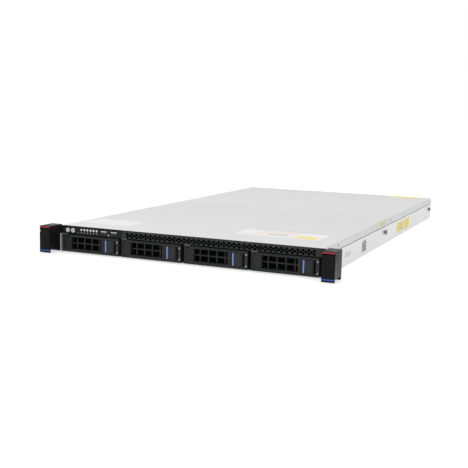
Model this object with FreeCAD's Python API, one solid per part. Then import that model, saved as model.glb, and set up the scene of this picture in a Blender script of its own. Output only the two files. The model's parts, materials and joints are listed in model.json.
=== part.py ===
import FreeCAD, Part
import math
import os

V = FreeCAD.Vector

# 1U rack server, four 3.5 inch drive trays. Millimetres. x runs to the right as seen from the
# front, y to the rear, z up. The origin is on the chassis underside, at mid width, in the plane
# where the ears meet the rack rails. "Reach" is a distance ahead of that plane.

# ---- sheet metal ----
base_sheet = 1.2            # chassis floor and walls
cover_sheet = 1.0           # lid
cage_sheet = 1.0            # drive cage, fan partition and supply bay
chassis_rear = 780.0
flange_drop = 11.4          # side flange of the lid
flange_gap = 0.3            # between the lid's flange and the joggled wall behind it
cover_seam_y = 405.0        # where the front and rear covers meet
cover_gap = 0.5
cover_head = 0.2            # under the lid's top sheet
floor_reach = 3.0           # the floor stops under the trays, its walls run on
cover_bend_r = 0.9

# ---- drives, trays and bays ----
drive_w = 101.6
drive_l = 147.0
drive_h = 26.1
drive_y = 8.0               # front of the drive
rail_t = 1.2                # tray side rails, which hold the drive's sides
rail_h = 14.0
drive_under = 0.3
drive_over = 0.6
tray_lift = 0.8             # tray over the floor sheet
tray_reach = 11.2
tray_left_gap = 0.8
bay_count = 4
bay_gap = 3.6               # between neighbouring trays
bay_play = 1.2
cage_gap = 0.6              # tray to cage top
runner_w = 2.0
runner_gap = 0.2
runner_inset = 12.0

# ---- tray handle ----
handle_t = 8.0
handle_back = 0.5
plate_t = 1.5               # tray end plate behind the handle
lug_h = 3.0
swing_gap = 0.3
pin_r = 1.2
pin_fit = 0.1
pin_sides = 12
barrel_sides = 16
window_x = 18.0             # from the tray's left edge
window_low = 4.5
window_high = 3.5
window_right = 5.0          # rib between window and free end
panel_x = 4.0
panel_w = 12.5
panel_depth = 0.8
grid_first = 8.6
grid_pitch = 13.5
grid_bar = 2.0
grid_recess = 4.2
grid_depth = 2.8

# ---- tray latch and lights ----
latch_w = 16.6
latch_travel = 2.5
latch_play = 0.3
latch_border = 1.6
latch_inset = 4.0           # above and below
latch_depth = 5.0
latch_recess = 0.4
touch_bar_w = 2.7
touch_bar_rise = 0.4
stem_w = 6.0
stem_h = 8.0
stem_lip = 2.0
stem_lip_t = 1.2
seam_gap = 0.4
light_column = 4.6
light_w = 2.6
light_h = 2.4
light_proud = 0.2

# ---- front bezel ----
bezel_reach = 10.0
bezel_h = 12.2              # from the cage to the lid's top: 43 mm in all, for a 1U slot
bezel_side = 2.8            # past the chassis side
bezel_t = 1.6
bezel_over = 0.2            # over the cage
bezel_lip = 9.0             # depth of the bezel's return lips
bezel_lip_t = 1.0
control_w = 112.0           # chassis side to the joint of control panel and grille
split_gap = 0.2
hex_flat = 4.0              # hexagon across flats
hex_web = 0.68
hex_edge = 0.6
hex_left = 6.5              # solid margins at the grille's ends
hex_right = 10.8
tab_w = 9.0                 # cage tab over each bay's top left corner
tab_inset = 2.0

# ---- control panel ----
button_r = 3.3
button_gap = 0.1
button_proud = 0.5
button_flange = 0.5
button_flange_t = 1.0
button_travel = 1.0
button_drop = 0.8           # under the bezel's mid height
power_inset = 13.0          # from the chassis side, as the next insets are
id_inset = 22.5
button_play = 0.3           # left behind a pressed button
button_stem = 3.0
light_inset = 38.0
light_pitch = 5.65
light_count = 6
lamp_w = 2.7
lamp_h = 2.8
lamp_rise = 1.1             # over the bezel's mid height
port_insets = (78.5, 96.5)
port_w = 12.6
port_h = 5.2
port_wall = 0.4
port_depth = 13.0
port_back = 1.5
port_gap = 0.15
board_t = 1.6
panel_wall = 1.2

# ---- ears and rack screws ----
ear_w = 24.0                # chassis side to ear edge
ear_inset = 5.0             # chassis side to the ear's inner face
ear_reach = 33.4
ear_wall = 1.8
ear_back = 4.0
ear_floor = 5.2
ear_foot = 7.0
ear_foot_z = 1.0
ear_round = 1.0
ear_boss_reach = 14.0
ear_boss_low = 3.0
ear_boss_high = 29.0
tongue_reach = 12.6         # chassis wall tongues beside the outer trays
tongue_low = 2.0
tongue_high = 30.0
lever_t = 2.4
lever_low = 1.0
lever_barrel_r = 2.6
lever_drop = 6.0            # axis under the ear's top
lever_rib_t = 1.2
lever_rib_h = 3.0
screw_offset = 15.55        # rack hole line outside the chassis side
screw_z = 21.5
screw_r = 3.0
screw_hole_gap = 0.3
screw_neck_w = 4.4          # across flats, inside the ear's wall
screw_head_r = 5.5
screw_head_l = 6.0
screw_tail = 9.0            # behind the rack plane

# ---- sides ----
stud_ys = (347.0, 755.0)
stud_z = 21.0
stud_neck_w = 5.0           # across flats
stud_head_r = 4.2
stud_neck_l = 2.6
stud_head_t = 1.6
vent_y = 198.6
vent_columns = 5
vent_rows = 3
vent_flat = 4.8
vent_pitch = 5.9
vent_z = 8.5

# ---- fans ----
fan_count = 4
fan_y = 205.0
fan_l = 56.0
fan_play = 0.2              # fan under and over
fan_bore = 1.0              # frame wall at its thinnest
fan_tip_gap = 0.6
fan_hub_r = 9.5
fan_hub_l = 22.0
fan_shaft_r = 1.5
fan_shaft_fit = 0.2
fan_shaft_sides = 8
fan_bore_sides = 16
fan_hub_sides = 12
fan_blades = 5
fan_chord = 16.0
fan_blade_t = 1.2
fan_pitch_deg = 40.0
fan_strut = 3.0
fan_rotor_gap = 4.0
fan_window_inset = 1.5

# ---- boards ----
backplane_gap = 8.0         # drive rear to backplane
backplane_t = 2.0
backplane_h = 33.0
backplane_z = 3.0
drive_plug_w = 42.0
drive_plug_h = 6.0
standoff_h = 4.8
standoff_w = 6.0            # across flats
standoff_side = 14.0        # from the walls
standoff_bay = 30.0         # from the supply bay
standoff_front = 12.0       # from the board's front edge
standoff_back = 24.0        # ahead of the power board
standoff_rear = 60.0        # ahead of the rear wall
main_y = 275.0
main_margin = 3.0
socket_x = 92.0             # processor centres, either side of mid width
socket_y = 385.0
socket_w = 76.0
socket_l = 56.0
socket_t = 5.0
sink_w = 78.0
sink_l = 108.0
sink_base = 4.0
sink_fin_t = 0.8
sink_fins = 10
sink_head = 2.4             # heat sink top below the lid
memory_count = 6            # in each bank
memory_pitch = 8.4
memory_l = 133.0
memory_head = 4.0           # under the lid
memory_t = 3.4
memory_socket_h = 5.0
memory_socket_w = 6.0
baffle_y = 268.0
baffle_l = 205.0
baffle_t = 1.0
baffle_inset = 5.0

# ---- rear ----
supply_count = 2
supply_w = 73.5
supply_l = 185.0
supply_gap = 0.6
supply_play = 0.2
plug_reach = 2.0            # from the bulkhead to the supply's front
supply_plug_w = 48.0
supply_plug_h = 10.0
supply_plug_z = 6.0
plug_gap = 0.5
vent_slot_w = 4.5
vent_slot_h = 13.0
vent_slot_pitch = 11.0
vent_slot_gap = 16.0        # past the last socket
vent_slot_z = 6.0
cover_plate_t = 0.9
slot_z = 24.0
slot_h = 15.5
slot_lap = 2.0
slot_1_inset = 12.0         # from the supply bay
slot_1_w = 79.0
slot_2_inset = 10.5         # from the right wall
slot_2_w = 112.0
# rear sockets: from the supply bay, outer width, outer height, wall, pocket depth
sockets = ((14.0, 31.0, 12.0, 5.0, 6.5), (50.0, 14.5, 7.0, 0.9, 13.0), (67.5, 14.5, 7.0, 0.9, 13.0),
           (87.0, 16.0, 13.5, 2.0, 15.0), (106.0, 16.0, 13.5, 2.0, 15.0),
           (128.0, 16.0, 13.5, 2.0, 15.0))
socket_back = 3.0
socket_proud = 0.4
socket_gap = 0.2
inlet_x = 44.0              # from the supply's left side
inlet_w = 24.0
inlet_h = 16.0
inlet_z = 4.5               # over the supply's underside
inlet_depth = 15.0
inlet_chamfer = 4.0
inlet_rim = 1.6
blade_w = 4.0
blade_t = 2.0
blade_l = 11.0
loop_x = 42.0
loop_w = 28.0
loop_z = 25.0
loop_h = 7.0
loop_t = 3.0
loop_reach = 22.0
loop_round = 5.0
grill_inset = 4.0
grill_w = 34.0
grill_bars = 6
grill_bar = 1.6
grill_depth = 3.0
catch_w = 8.0
catch_h = 4.0
catch_x = 60.0
catch_z = 34.0
catch_reach = 7.0
catch_travel = 3.0
catch_play = 0.3
catch_pocket = 6.0
riser_side = 4.0            # left of the second card slot
riser_rear = 20.0           # ahead of the rear wall
riser_l = 120.0
riser_h = 24.0
riser_slot_w = 9.0
riser_slot_inset = 10.0
riser_slot_l = 90.0
riser_slot_z = 26.0
riser_slot_h = 7.0

# ---- worked out from the above ----
tray_w = drive_w + 2 * rail_t
tray_h = drive_h + drive_under + drive_over
bay_pitch = tray_w + bay_gap
inner_w = bay_count * bay_pitch + bay_play
side_x = inner_w / 2 + base_sheet
tray_z = base_sheet + tray_lift
tray_top = tray_z + tray_h
cage_z = tray_top + cage_gap
cage_top = cage_z + cage_sheet
bezel_z = cage_top + bezel_over
chassis_h = bezel_z + bezel_h
bezel_mid = bezel_z + bezel_h / 2
button_z = bezel_mid - button_drop
lamp_z = bezel_mid + lamp_rise
flange_z = chassis_h - flange_drop
joggle = cover_sheet + flange_gap
joggle_z = flange_z - joggle
wall_top = chassis_h - cover_sheet - cover_head
upper_x = side_x - joggle - base_sheet          # inner face of the wall above the joggle
bezel_back = -bezel_reach + bezel_t
cover_front = bezel_back + cover_gap
bezel_x = side_x + bezel_side
panel_split_x = -side_x + control_w
power_x = -side_x + power_inset
id_x = -side_x + id_inset
light_first_x = -side_x + light_inset
port_xs = [-side_x + inset for inset in port_insets]
ear_in_x = side_x + ear_inset
ear_out_x = side_x + ear_w
lever_axis_y = -ear_reach + lever_barrel_r
lever_axis_z = chassis_h - lever_drop
lever_top = lever_axis_z + lever_barrel_r
housing_front = -ear_reach + lever_t + swing_gap
pocket_w = latch_w + latch_travel + 2 * latch_play
handle_l = tray_w - light_column - pocket_w - latch_border - seam_gap
plate_y = -tray_reach + handle_t + handle_back
plate_back = plate_y + plate_t
window_w = handle_l - window_x - window_right
drive_rear = drive_y + drive_l
backplane_y = drive_rear + backplane_gap
cage_front = -tray_reach + handle_t / 2
panel_back = -bezel_reach + port_depth + port_back
fan_size = wall_top - base_sheet - 2 * fan_play
fan_z = base_sheet + fan_play + fan_size / 2
fan_bore_r = fan_size / 2 - fan_bore
fan_pitch = 2 * upper_x / fan_count
board_z = base_sheet + standoff_h
board_top = board_z + board_t
supply_h = wall_top - base_sheet - 2 * supply_play
supply_z = base_sheet + supply_play
supply_pitch = supply_w + 2 * supply_gap + cage_sheet
supply_x = -upper_x + supply_gap
supply_front = chassis_rear - supply_l
bay_x1 = supply_x + supply_count * supply_pitch - supply_gap - cage_sheet
bulkhead_y = supply_front - plug_reach - cage_sheet
power_board_y = bulkhead_y - board_t
slots = ((bay_x1 + slot_1_inset, slot_1_w), (upper_x - slot_2_inset - slot_2_w, slot_2_w))
riser_x = slots[1][0] - riser_side
vent_slot_x = bay_x1 + sockets[-1][0] + sockets[-1][1] + vent_slot_gap


# ---- helpers ----
def box(x0, x1, y0, y1, z0, z1):
    return Part.makeBox(x1 - x0, y1 - y0, z1 - z0, V(x0, y0, z0))


def rod(r, length, x, y, z, direction):
    return Part.makeCylinder(r, length, V(x, y, z), direction)


def prism(points, depth):
    """A closed outline of points, extruded by the vector depth."""
    return Part.Face(Part.makePolygon(points + points[:1])).extrude(depth)


def join(shapes):
    first, rest = shapes[0], shapes[1:]
    return first.fuse(rest).removeSplitter() if rest else first


def cut(shape, tools):
    return shape.cut(tools).removeSplitter()


def mirror_x(shape):
    return shape.mirror(V(0, 0, 0), V(1, 0, 0))


def group(shapes):
    return Part.makeCompound(shapes)


def hexagon(a, b, flat, place):
    """A hexagon with flat top and bottom; place turns its two coordinates into a point."""
    r = flat / math.sqrt(3)
    turns = [math.radians(60 * k) for k in range(6)]
    return [place(a + r * math.cos(t), b + r * math.sin(t)) for t in turns]


def many_sided(r, sides, place):
    """A round drawn with flats at the radius r; place turns its two coordinates into a point."""
    corner = r / math.cos(math.pi / sides)
    turns = [math.pi / sides * (2 * k + 1) for k in range(sides)]
    return [place(corner * math.cos(t), corner * math.sin(t)) for t in turns]


def tray_x(i):
    return -inner_w / 2 + tray_left_gap + i * bay_pitch


# ---- chassis ----
def wall_outline():
    """Outer outline of the chassis in x and z, with the joggle that the lid's flange fills."""
    right = [(side_x, 0), (side_x, joggle_z), (side_x - joggle, joggle_z + joggle),
             (side_x - joggle, wall_top)]
    return right + [(-x, z) for x, z in reversed(right)]


def inner_outline():
    bend = base_sheet * math.tan(math.radians(22.5))
    right = [(side_x - base_sheet, base_sheet), (side_x - base_sheet, joggle_z - bend),
             (upper_x, joggle_z + joggle - bend), (upper_x, chassis_h)]
    return right + [(-x, z) for x, z in reversed(right)]


def tub():
    front = -tray_reach
    rear_in = chassis_rear - base_sheet
    outer = prism([V(x, front, z) for x, z in wall_outline()], V(0, chassis_rear - front, 0))
    inner = prism([V(x, front - 1, z) for x, z in inner_outline()], V(0, rear_in - front + 1, 0))
    upper_front = box(-side_x - 1, side_x + 1, front - 1, cover_front, tongue_high, chassis_h)
    floor_front = box(-side_x + base_sheet, side_x - base_sheet, front - 1, -floor_reach,
                      -1, 2 * base_sheet)
    return outer.cut([inner, upper_front, floor_front])


def wall_tongues():
    tongue = box(side_x - base_sheet, side_x, -tongue_reach, 0, tongue_low, tongue_high)
    return [tongue, mirror_x(tongue)]


def floor_runners():
    runners = []
    for i in range(bay_count):
        for x in (tray_x(i) + runner_inset, tray_x(i) + tray_w - runner_inset - runner_w):
            runners.append(box(x, x + runner_w, -floor_reach, drive_rear,
                               base_sheet, tray_z - runner_gap))
    return runners


def standoff_places():
    xs = (-upper_x + standoff_side, bay_x1 + standoff_bay, upper_x - standoff_side)
    front_row = [(x, main_y + standoff_front) for x in xs]
    middle_row = [(x, power_board_y - standoff_back) for x in xs]
    return front_row + middle_row + [(x, chassis_rear - standoff_rear) for x in xs[1:]]


def hex_post(x, y):
    outline = hexagon(x, y, standoff_w, lambda a, b: V(a, b, base_sheet))
    return prism(outline, V(0, 0, standoff_h))


def standoffs():
    return [hex_post(x, y) for x, y in standoff_places()]


def side_vents():
    step = vent_pitch * math.sqrt(3) / 2
    holes = []
    for column in range(vent_columns):
        for row in range(vent_rows):
            y = vent_y + column * step
            z = vent_z + (row + 0.5 * (column % 2)) * vent_pitch
            points = hexagon(y, z, vent_flat, lambda a, b: V(side_x - 2 * base_sheet, a, b))
            holes.append(prism(points, V(3 * base_sheet, 0, 0)))
    return holes + [mirror_x(h) for h in holes]


def rear_cuts():
    y0, y1 = chassis_rear - 2 * base_sheet, chassis_rear + 1
    cuts = [box(-upper_x, bay_x1, y0, y1, base_sheet, chassis_h)]
    for inset, w, h, wall, depth in sockets:
        x = bay_x1 + inset
        cuts.append(box(x - socket_gap, x + w + socket_gap, y0, y1,
                        board_top, board_top + h + socket_gap))
    for x, w in slots:
        cuts.append(box(x, x + w, y0, y1, slot_z, slot_z + slot_h))
    x = vent_slot_x
    while x + vent_slot_w < upper_x - vent_slot_w:
        cuts.append(box(x, x + vent_slot_w, y0, y1, vent_slot_z, vent_slot_z + vent_slot_h))
        x += vent_slot_pitch
    return cuts


def chassis_base():
    body = join([tub()] + wall_tongues() + floor_runners() + standoffs())
    return cut(body, side_vents() + rear_cuts())


def cover(y0, y1):
    outer = box(-side_x, side_x, y0, y1, flange_z, chassis_h)
    along = [e for e in outer.Edges if abs(e.CenterOfMass.z - chassis_h) < 0.01
             and abs(abs(e.CenterOfMass.x) - side_x) < 0.01]
    outer = outer.makeFillet(min(cover_bend_r, cover_sheet), along)
    inner = box(-side_x + cover_sheet, side_x - cover_sheet, y0 - 1, y1 + 1,
                flange_z - 1, chassis_h - cover_sheet)
    return outer.cut(inner)


def front_cover():
    return cover(cover_front, cover_seam_y - cover_gap / 2)


def rear_cover():
    return cover(cover_seam_y + cover_gap / 2, chassis_rear)


def rail_studs():
    studs = []
    for y in stud_ys:
        outline = hexagon(y, stud_z, stud_neck_w, lambda a, b: V(side_x, a, b))
        neck = prism(outline, V(stud_neck_l, 0, 0))
        head = rod(stud_head_r, stud_head_t, side_x + stud_neck_l, y, stud_z, V(1, 0, 0))
        stud = join([neck, head])
        studs += [stud, mirror_x(stud)]
    return group(studs)


# ---- drive cage and bezel ----
def drive_cage():
    half = upper_x
    pieces = [box(-half, half, cage_front, backplane_y, cage_z, cage_top)]
    for i in range(1, bay_count):
        x = tray_x(i) - tray_left_gap
        pieces.append(box(x - cage_sheet, x, plate_y, backplane_y, base_sheet, cage_z))
    for i in range(bay_count):
        x = tray_x(i) + tab_inset
        pieces.append(box(x, x + tab_w, -tray_reach, cage_front, cage_z, cage_top))
    return join(pieces)


def hex_places():
    """Hexagon centres: columns half a pitch apart in height, inside the grille's margins."""
    spacing = hex_flat + hex_web
    step = spacing * math.sqrt(3) / 2
    left = panel_split_x + hex_left + hex_flat / math.sqrt(3)
    right = bezel_x - hex_right - hex_flat / math.sqrt(3)
    places = []
    for column in range(int((right - left) / step) + 1):
        z = bezel_z + hex_edge + hex_flat / 2 + spacing / 2 * (column % 2)
        while z + hex_flat / 2 + hex_edge <= chassis_h + 1e-6:
            places.append((left + column * step, z))
            z += spacing
    return places


def bezel_lips(x0, x1):
    """Return lips behind the bezel: one over the cage, one under the lid."""
    low = box(x0, x1, bezel_back, bezel_back + bezel_lip, bezel_z, bezel_z + bezel_lip_t / 2)
    high = box(x0, x1, bezel_back, bezel_back + bezel_lip, wall_top - bezel_lip_t, wall_top)
    return [low, high]


def grille_bezel():
    y = -bezel_reach
    x0, x1 = panel_split_x + split_gap / 2, bezel_x
    corners = [V(x0, y, bezel_z), V(x1, y, bezel_z), V(x1, y, chassis_h), V(x0, y, chassis_h)]
    outline = Part.makePolygon(corners + corners[:1])
    holes = []
    for x, z in hex_places():
        points = hexagon(x, z, hex_flat, lambda a, b: V(a, y, b))
        holes.append(Part.makePolygon(points + points[:1]))
    plate = Part.Face([outline] + [Part.Wire(h.Edges) for h in holes])
    plate.validate()
    return join([plate.extrude(V(0, bezel_t, 0))] + bezel_lips(x0, upper_x - split_gap))


def panel_holes():
    y0, length = -bezel_reach - 1, bezel_t + 2
    holes = [rod(button_r + button_gap, length, x, y0, button_z, V(0, 1, 0))
             for x in (power_x, id_x)]
    for k in range(light_count):
        x = light_first_x + k * light_pitch
        holes.append(box(x - lamp_w / 2, x + lamp_w / 2, y0, y0 + length,
                         lamp_z - lamp_h / 2, lamp_z + lamp_h / 2))
    for x in port_xs:
        w, h = port_w / 2 + port_gap, port_h / 2 + port_gap
        holes.append(box(x - w, x + w, y0, y0 + length, bezel_mid - h, bezel_mid + h))
    return holes


def control_panel():
    x0, x1 = -bezel_x, panel_split_x - split_gap / 2
    face = box(x0, x1, -bezel_reach, bezel_back, bezel_z, chassis_h)
    left = -upper_x + split_gap
    tube = box(left, x1, bezel_back, panel_back + board_t, bezel_z, wall_top)
    room = box(left + panel_wall, x1 - panel_wall, bezel_back, panel_back + board_t + 1,
               bezel_z + bezel_lip_t, wall_top - bezel_lip_t)
    return cut(join([face, tube]), [room] + panel_holes())


def control_board():
    x0, x1 = -upper_x + split_gap + panel_wall, panel_split_x - split_gap / 2 - panel_wall
    return box(x0, x1, panel_back, panel_back + board_t, bezel_z + bezel_lip_t,
               wall_top - bezel_lip_t)


def round_button(x):
    """A round cap on a square plate, which the panel's face keeps in."""
    y = -bezel_reach - button_proud
    flange_y = bezel_back + button_play
    cap = rod(button_r, flange_y - y, x, y, button_z, V(0, 1, 0))
    half = button_r + button_flange
    plate = box(x - half, x + half, flange_y, flange_y + button_flange_t,
                button_z - half, button_z + half)
    stem_end = panel_back - button_travel - button_play
    stem = box(x - button_stem / 2, x + button_stem / 2, flange_y, stem_end,
               button_z - button_stem / 2, button_z + button_stem / 2)
    return join([cap, plate, stem])


def status_lights():
    lamps = []
    for k in range(light_count):
        x = light_first_x + k * light_pitch
        lamps.append(box(x - lamp_w / 2, x + lamp_w / 2, -bezel_reach - light_proud, panel_back,
                         lamp_z - lamp_h / 2, lamp_z + lamp_h / 2))
    return group(lamps)


def port_shell(x):
    """A rectangular metal port shell with its contact tongue."""
    w, h, y = port_w / 2, port_h / 2, -bezel_reach
    shell = box(x - w, x + w, y, panel_back, bezel_mid - h, bezel_mid + h)
    mouth = box(x - w + port_wall, x + w - port_wall, y - 1, y + port_depth,
                bezel_mid - h + port_wall, bezel_mid + h - port_wall)
    return cut(shell, [mouth])


def front_ports():
    return group([port_shell(x) for x in port_xs])


# ---- trays ----
def lug_outline(r, reach):
    """Half an octagon round a hinge axis, run back square by reach."""
    k = r * math.tan(math.radians(22.5))
    return [(-r, reach), (-r, -k), (-k, -r), (k, -r), (r, -k), (r, reach)]


def tray_lug(x0, z):
    r = handle_t / 2
    outline = lug_outline(r, plate_y + tray_reach - r)
    points = [V(x0 + r + a, -tray_reach + r + b, z) for a, b in outline]
    return prism(points, V(0, 0, lug_h))


def hinge_drum(x0, r, sides, z0, z1):
    """An upright many-sided drum on a tray handle's hinge axis."""
    x, y = x0 + handle_t / 2, -tray_reach + handle_t / 2
    return prism(many_sided(r, sides, lambda a, b: V(x + a, y + b, z0)), V(0, 0, z1 - z0))


def pocket_x(x0):
    return x0 + handle_l + seam_gap + latch_border


def light_boxes(x0, y0, y1):
    x = x0 + tray_w - light_column / 2
    low = box(x - light_w / 2, x + light_w / 2, y0, y1, tray_z + latch_inset,
              tray_z + latch_inset + light_h)
    high = box(x - light_w / 2, x + light_w / 2, y0, y1, tray_top - latch_inset - light_h,
               tray_top - latch_inset)
    return [low, high]


def end_vents(x0):
    """Air windows in the end plate, one behind each cell row of the handle's grid."""
    mid = (tray_z + tray_top) / 2
    x1, x2 = x0 + window_x, x0 + window_x + window_w
    low = box(x1, x2, plate_y - 1, plate_back + 1, tray_z + window_low, mid - grid_bar / 2)
    high = box(x1, x2, plate_y - 1, plate_back + 1, mid + grid_bar / 2, tray_top - window_high)
    return [low, high]


def latch_pocket(x0):
    x = pocket_x(x0)
    mid = (tray_z + tray_top) / 2
    room = box(x, x + pocket_w, -tray_reach - 1, -tray_reach + latch_depth,
               tray_z + latch_inset - latch_play, tray_top - latch_inset + latch_play)
    slot_x = x + latch_play + (latch_w - stem_w) / 2
    slot = box(slot_x - latch_play, slot_x + stem_w + latch_travel + latch_play,
               -tray_reach, plate_back + 1, mid - stem_h / 2 - latch_play,
               mid + stem_h / 2 + latch_play)
    return [room, slot]


def tray(i):
    x0 = tray_x(i)
    plate = box(x0, x0 + tray_w, plate_y, plate_back, tray_z, tray_top)
    block = box(x0 + handle_l + seam_gap, x0 + tray_w, -tray_reach, plate_y, tray_z, tray_top)
    rails = [box(x, x + rail_t, plate_back, drive_rear, tray_z, tray_z + rail_h)
             for x in (x0, x0 + tray_w - rail_t)]
    lugs = [tray_lug(x0, tray_z), tray_lug(x0, tray_top - lug_h)]
    pin = hinge_drum(x0, pin_r, pin_sides, tray_z + lug_h / 2, tray_top - lug_h / 2)
    body = join([plate, block, pin] + rails + lugs)
    tools = end_vents(x0) + latch_pocket(x0) + light_boxes(x0, -tray_reach - 1, plate_back + 1)
    return cut(body, tools)


def handle_grid(x0):
    """Bars set back in the handle's window: uprights at a pitch, and one bar across."""
    y0 = -tray_reach + grid_recess
    y1 = y0 + grid_depth
    z0, z1 = tray_z + window_low, tray_top - window_high
    x1, mid = x0 + window_x, (z0 + z1) / 2
    bars = [box(x1, x1 + window_w, y0, y1, mid - grid_bar / 2, mid + grid_bar / 2)]
    x = x1 + grid_first
    while x + grid_bar / 2 < x1 + window_w:
        bars.append(box(x - grid_bar / 2, x + grid_bar / 2, y0, y1, z0, z1))
        x += grid_pitch
    return bars


def tray_handle(i):
    x0, r = tray_x(i), handle_t / 2
    y0, y1 = -tray_reach, -tray_reach + handle_t
    z0, z1 = tray_z + lug_h + swing_gap, tray_top - lug_h - swing_gap
    barrel = hinge_drum(x0, r, barrel_sides, z0, z1)
    neck = box(x0 + r, x0 + 2 * r + swing_gap, y0, y1, z0, z1)
    face = box(x0 + 2 * r + swing_gap, x0 + handle_l, y0, y1, tray_z, tray_top)
    low, high = tray_z + window_low, tray_top - window_high
    window = box(x0 + window_x, x0 + window_x + window_w, y0 - 1, y1 + 1, low, high)
    recess = box(x0 + panel_x, x0 + panel_x + panel_w, y0, y0 + panel_depth, low, high)
    bore = hinge_drum(x0, pin_r + pin_fit, pin_sides, z0 - 1, z1 + 1)
    body = cut(join([barrel, neck, face]), [window, recess, bore])
    return join([body] + handle_grid(x0))


def tray_latch(i):
    x0 = pocket_x(tray_x(i)) + latch_play
    mid = (tray_z + tray_top) / 2
    y0, y1 = -tray_reach + latch_recess, -tray_reach + latch_depth - latch_play
    z0, z1 = tray_z + latch_inset, tray_top - latch_inset
    pad = box(x0, x0 + latch_w, y0, y1, z0, z1)
    touch_bar = box(x0, x0 + touch_bar_w, y0 - touch_bar_rise, y0, z0, z1)
    stem_x = x0 + (latch_w - stem_w) / 2
    stem = box(stem_x, stem_x + stem_w, y1, plate_back + latch_play,
               mid - stem_h / 2, mid + stem_h / 2)
    half = stem_h / 2 + stem_lip
    lip = box(stem_x, stem_x + stem_w, plate_back + latch_play,
              plate_back + latch_play + stem_lip_t, mid - half, mid + half)
    return join([pad, touch_bar, stem, lip])


def tray_lights(i):
    return group(light_boxes(tray_x(i), -tray_reach - light_proud, plate_back))


def drive(i):
    x0 = tray_x(i) + rail_t
    z0 = tray_z + drive_under
    body = box(x0, x0 + drive_w, drive_y, drive_rear, z0, z0 + drive_h)
    ledge = 3.0
    rim = box(x0 + ledge, x0 + drive_w - ledge, drive_y + ledge, drive_rear - 4 * ledge,
              z0 + drive_h - 1, z0 + drive_h)
    top = body.cut(box(x0, x0 + drive_w, drive_y, drive_rear, z0 + drive_h - 1, z0 + drive_h))
    return join([top, rim])


# ---- ears ----
def ear_shell():
    outer = box(ear_in_x, ear_out_x, housing_front, 0, ear_floor, chassis_h)
    foot = box(ear_in_x, ear_out_x, -ear_foot, 0, ear_foot_z, ear_floor)
    cap = box(ear_in_x, ear_out_x, -ear_reach, housing_front, lever_top + swing_gap, chassis_h)
    boss = box(side_x, ear_in_x, -ear_boss_reach, 0, ear_boss_low, ear_boss_high)
    shell = join([outer, foot, cap, boss])
    edges = [e for e in shell.Edges if abs(e.CenterOfMass.x - ear_out_x) < 0.01
             and abs(e.CenterOfMass.y) < 0.01]
    return shell.makeFillet(ear_round, edges)


def lever_pin(r, x0, x1):
    """A many-sided drum along x on the lever's hinge axis."""
    outline = many_sided(r, pin_sides, lambda a, b: V(x0, lever_axis_y + a, lever_axis_z + b))
    return prism(outline, V(x1 - x0, 0, 0))


def ear_cheeks():
    """Cheeks beside the lever's barrel, and the pin between them."""
    outline = lug_outline(lever_barrel_r, housing_front + 1 - lever_axis_y)
    cheeks = [lever_pin(pin_r, ear_in_x + ear_wall / 2, ear_out_x - ear_wall / 2)]
    for x in (ear_in_x, ear_out_x - ear_wall):
        points = [V(x, lever_axis_y + b, lever_axis_z + a) for a, b in outline]
        cheeks.append(prism(points, V(ear_wall, 0, 0)))
    return cheeks


def ear():
    cavity = box(ear_in_x + ear_wall, ear_out_x - ear_wall, housing_front - 1, -ear_back,
                 ear_floor + ear_wall, chassis_h - ear_wall)
    cap_wall = box(ear_in_x, ear_out_x, -ear_reach, housing_front + ear_wall,
                   lever_top + swing_gap, chassis_h)
    hole = rod(screw_r + screw_hole_gap, ear_back + 2, side_x + screw_offset, -ear_back - 1,
               screw_z, V(0, 1, 0))
    hollow = cut(ear_shell(), [cavity, hole])
    return join([hollow, cap_wall] + ear_cheeks())


def ear_lever():
    x0, x1 = ear_in_x + ear_wall + swing_gap, ear_out_x - ear_wall - swing_gap
    shoulder = lever_axis_z - lever_barrel_r - 2 * swing_gap
    y1 = -ear_reach + lever_t
    barrel = rod(lever_barrel_r, x1 - x0, x0, lever_axis_y, lever_axis_z, V(1, 0, 0))
    neck = box(x0, x1, -ear_reach, y1, shoulder, lever_axis_z)
    plate = box(ear_in_x, ear_out_x, -ear_reach, y1, lever_low, shoulder)
    ribs = [box(x, x + lever_rib_t, y1, y1 + lever_rib_h, ear_floor + 2 * ear_wall, shoulder)
            for x in (x0 + ear_wall, x1 - ear_wall - lever_rib_t)]
    bore = lever_pin(pin_r + pin_fit, x0 - 1, x1 + 1)
    return cut(join([barrel, neck, plate] + ribs), [bore])


def rack_screws():
    x = side_x + screw_offset
    outline = hexagon(x, screw_z, 2 * screw_head_r, lambda a, b: V(a, -ear_back, b))
    head = prism(outline, V(0, -screw_head_l, 0))
    outline = hexagon(x, screw_z, screw_neck_w, lambda a, b: V(a, -ear_back, b))
    neck = prism(outline, V(0, ear_back, 0))
    screw = join([head, neck, rod(screw_r, screw_tail, x, 0, screw_z, V(0, 1, 0))])
    return group([screw, mirror_x(screw)])


# ---- inside ----
def backplane():
    board = box(-upper_x, upper_x, backplane_y, backplane_y + backplane_t,
                backplane_z, backplane_z + backplane_h)
    plugs, holes = [], []
    for i in range(bay_count):
        mid = tray_x(i) + tray_w / 2
        plugs.append(box(mid - drive_plug_w / 2, mid + drive_plug_w / 2,
                         backplane_y - backplane_gap + 1, backplane_y,
                         tray_z + drive_under, tray_z + drive_under + drive_plug_h))
        for side in (-1, 1):
            x = mid + side * drive_w / 4
            holes.append(box(x - drive_w / 5, x + drive_w / 5, backplane_y - 1,
                             backplane_y + backplane_t + 1, tray_top - 10, tray_top - 3))
    return cut(join([board] + plugs), holes)


def fan_x(i):
    return -upper_x + (i + 0.5) * fan_pitch


def fan_partition():
    wall = box(-upper_x, upper_x, fan_y - cage_sheet, fan_y, base_sheet, wall_top)
    half = fan_size / 2 - fan_window_inset
    holes = [box(fan_x(i) - half, fan_x(i) + half, fan_y - 3, fan_y + 1, fan_z - half, fan_z + half)
             for i in range(fan_count)]
    return cut(wall, holes)


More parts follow.
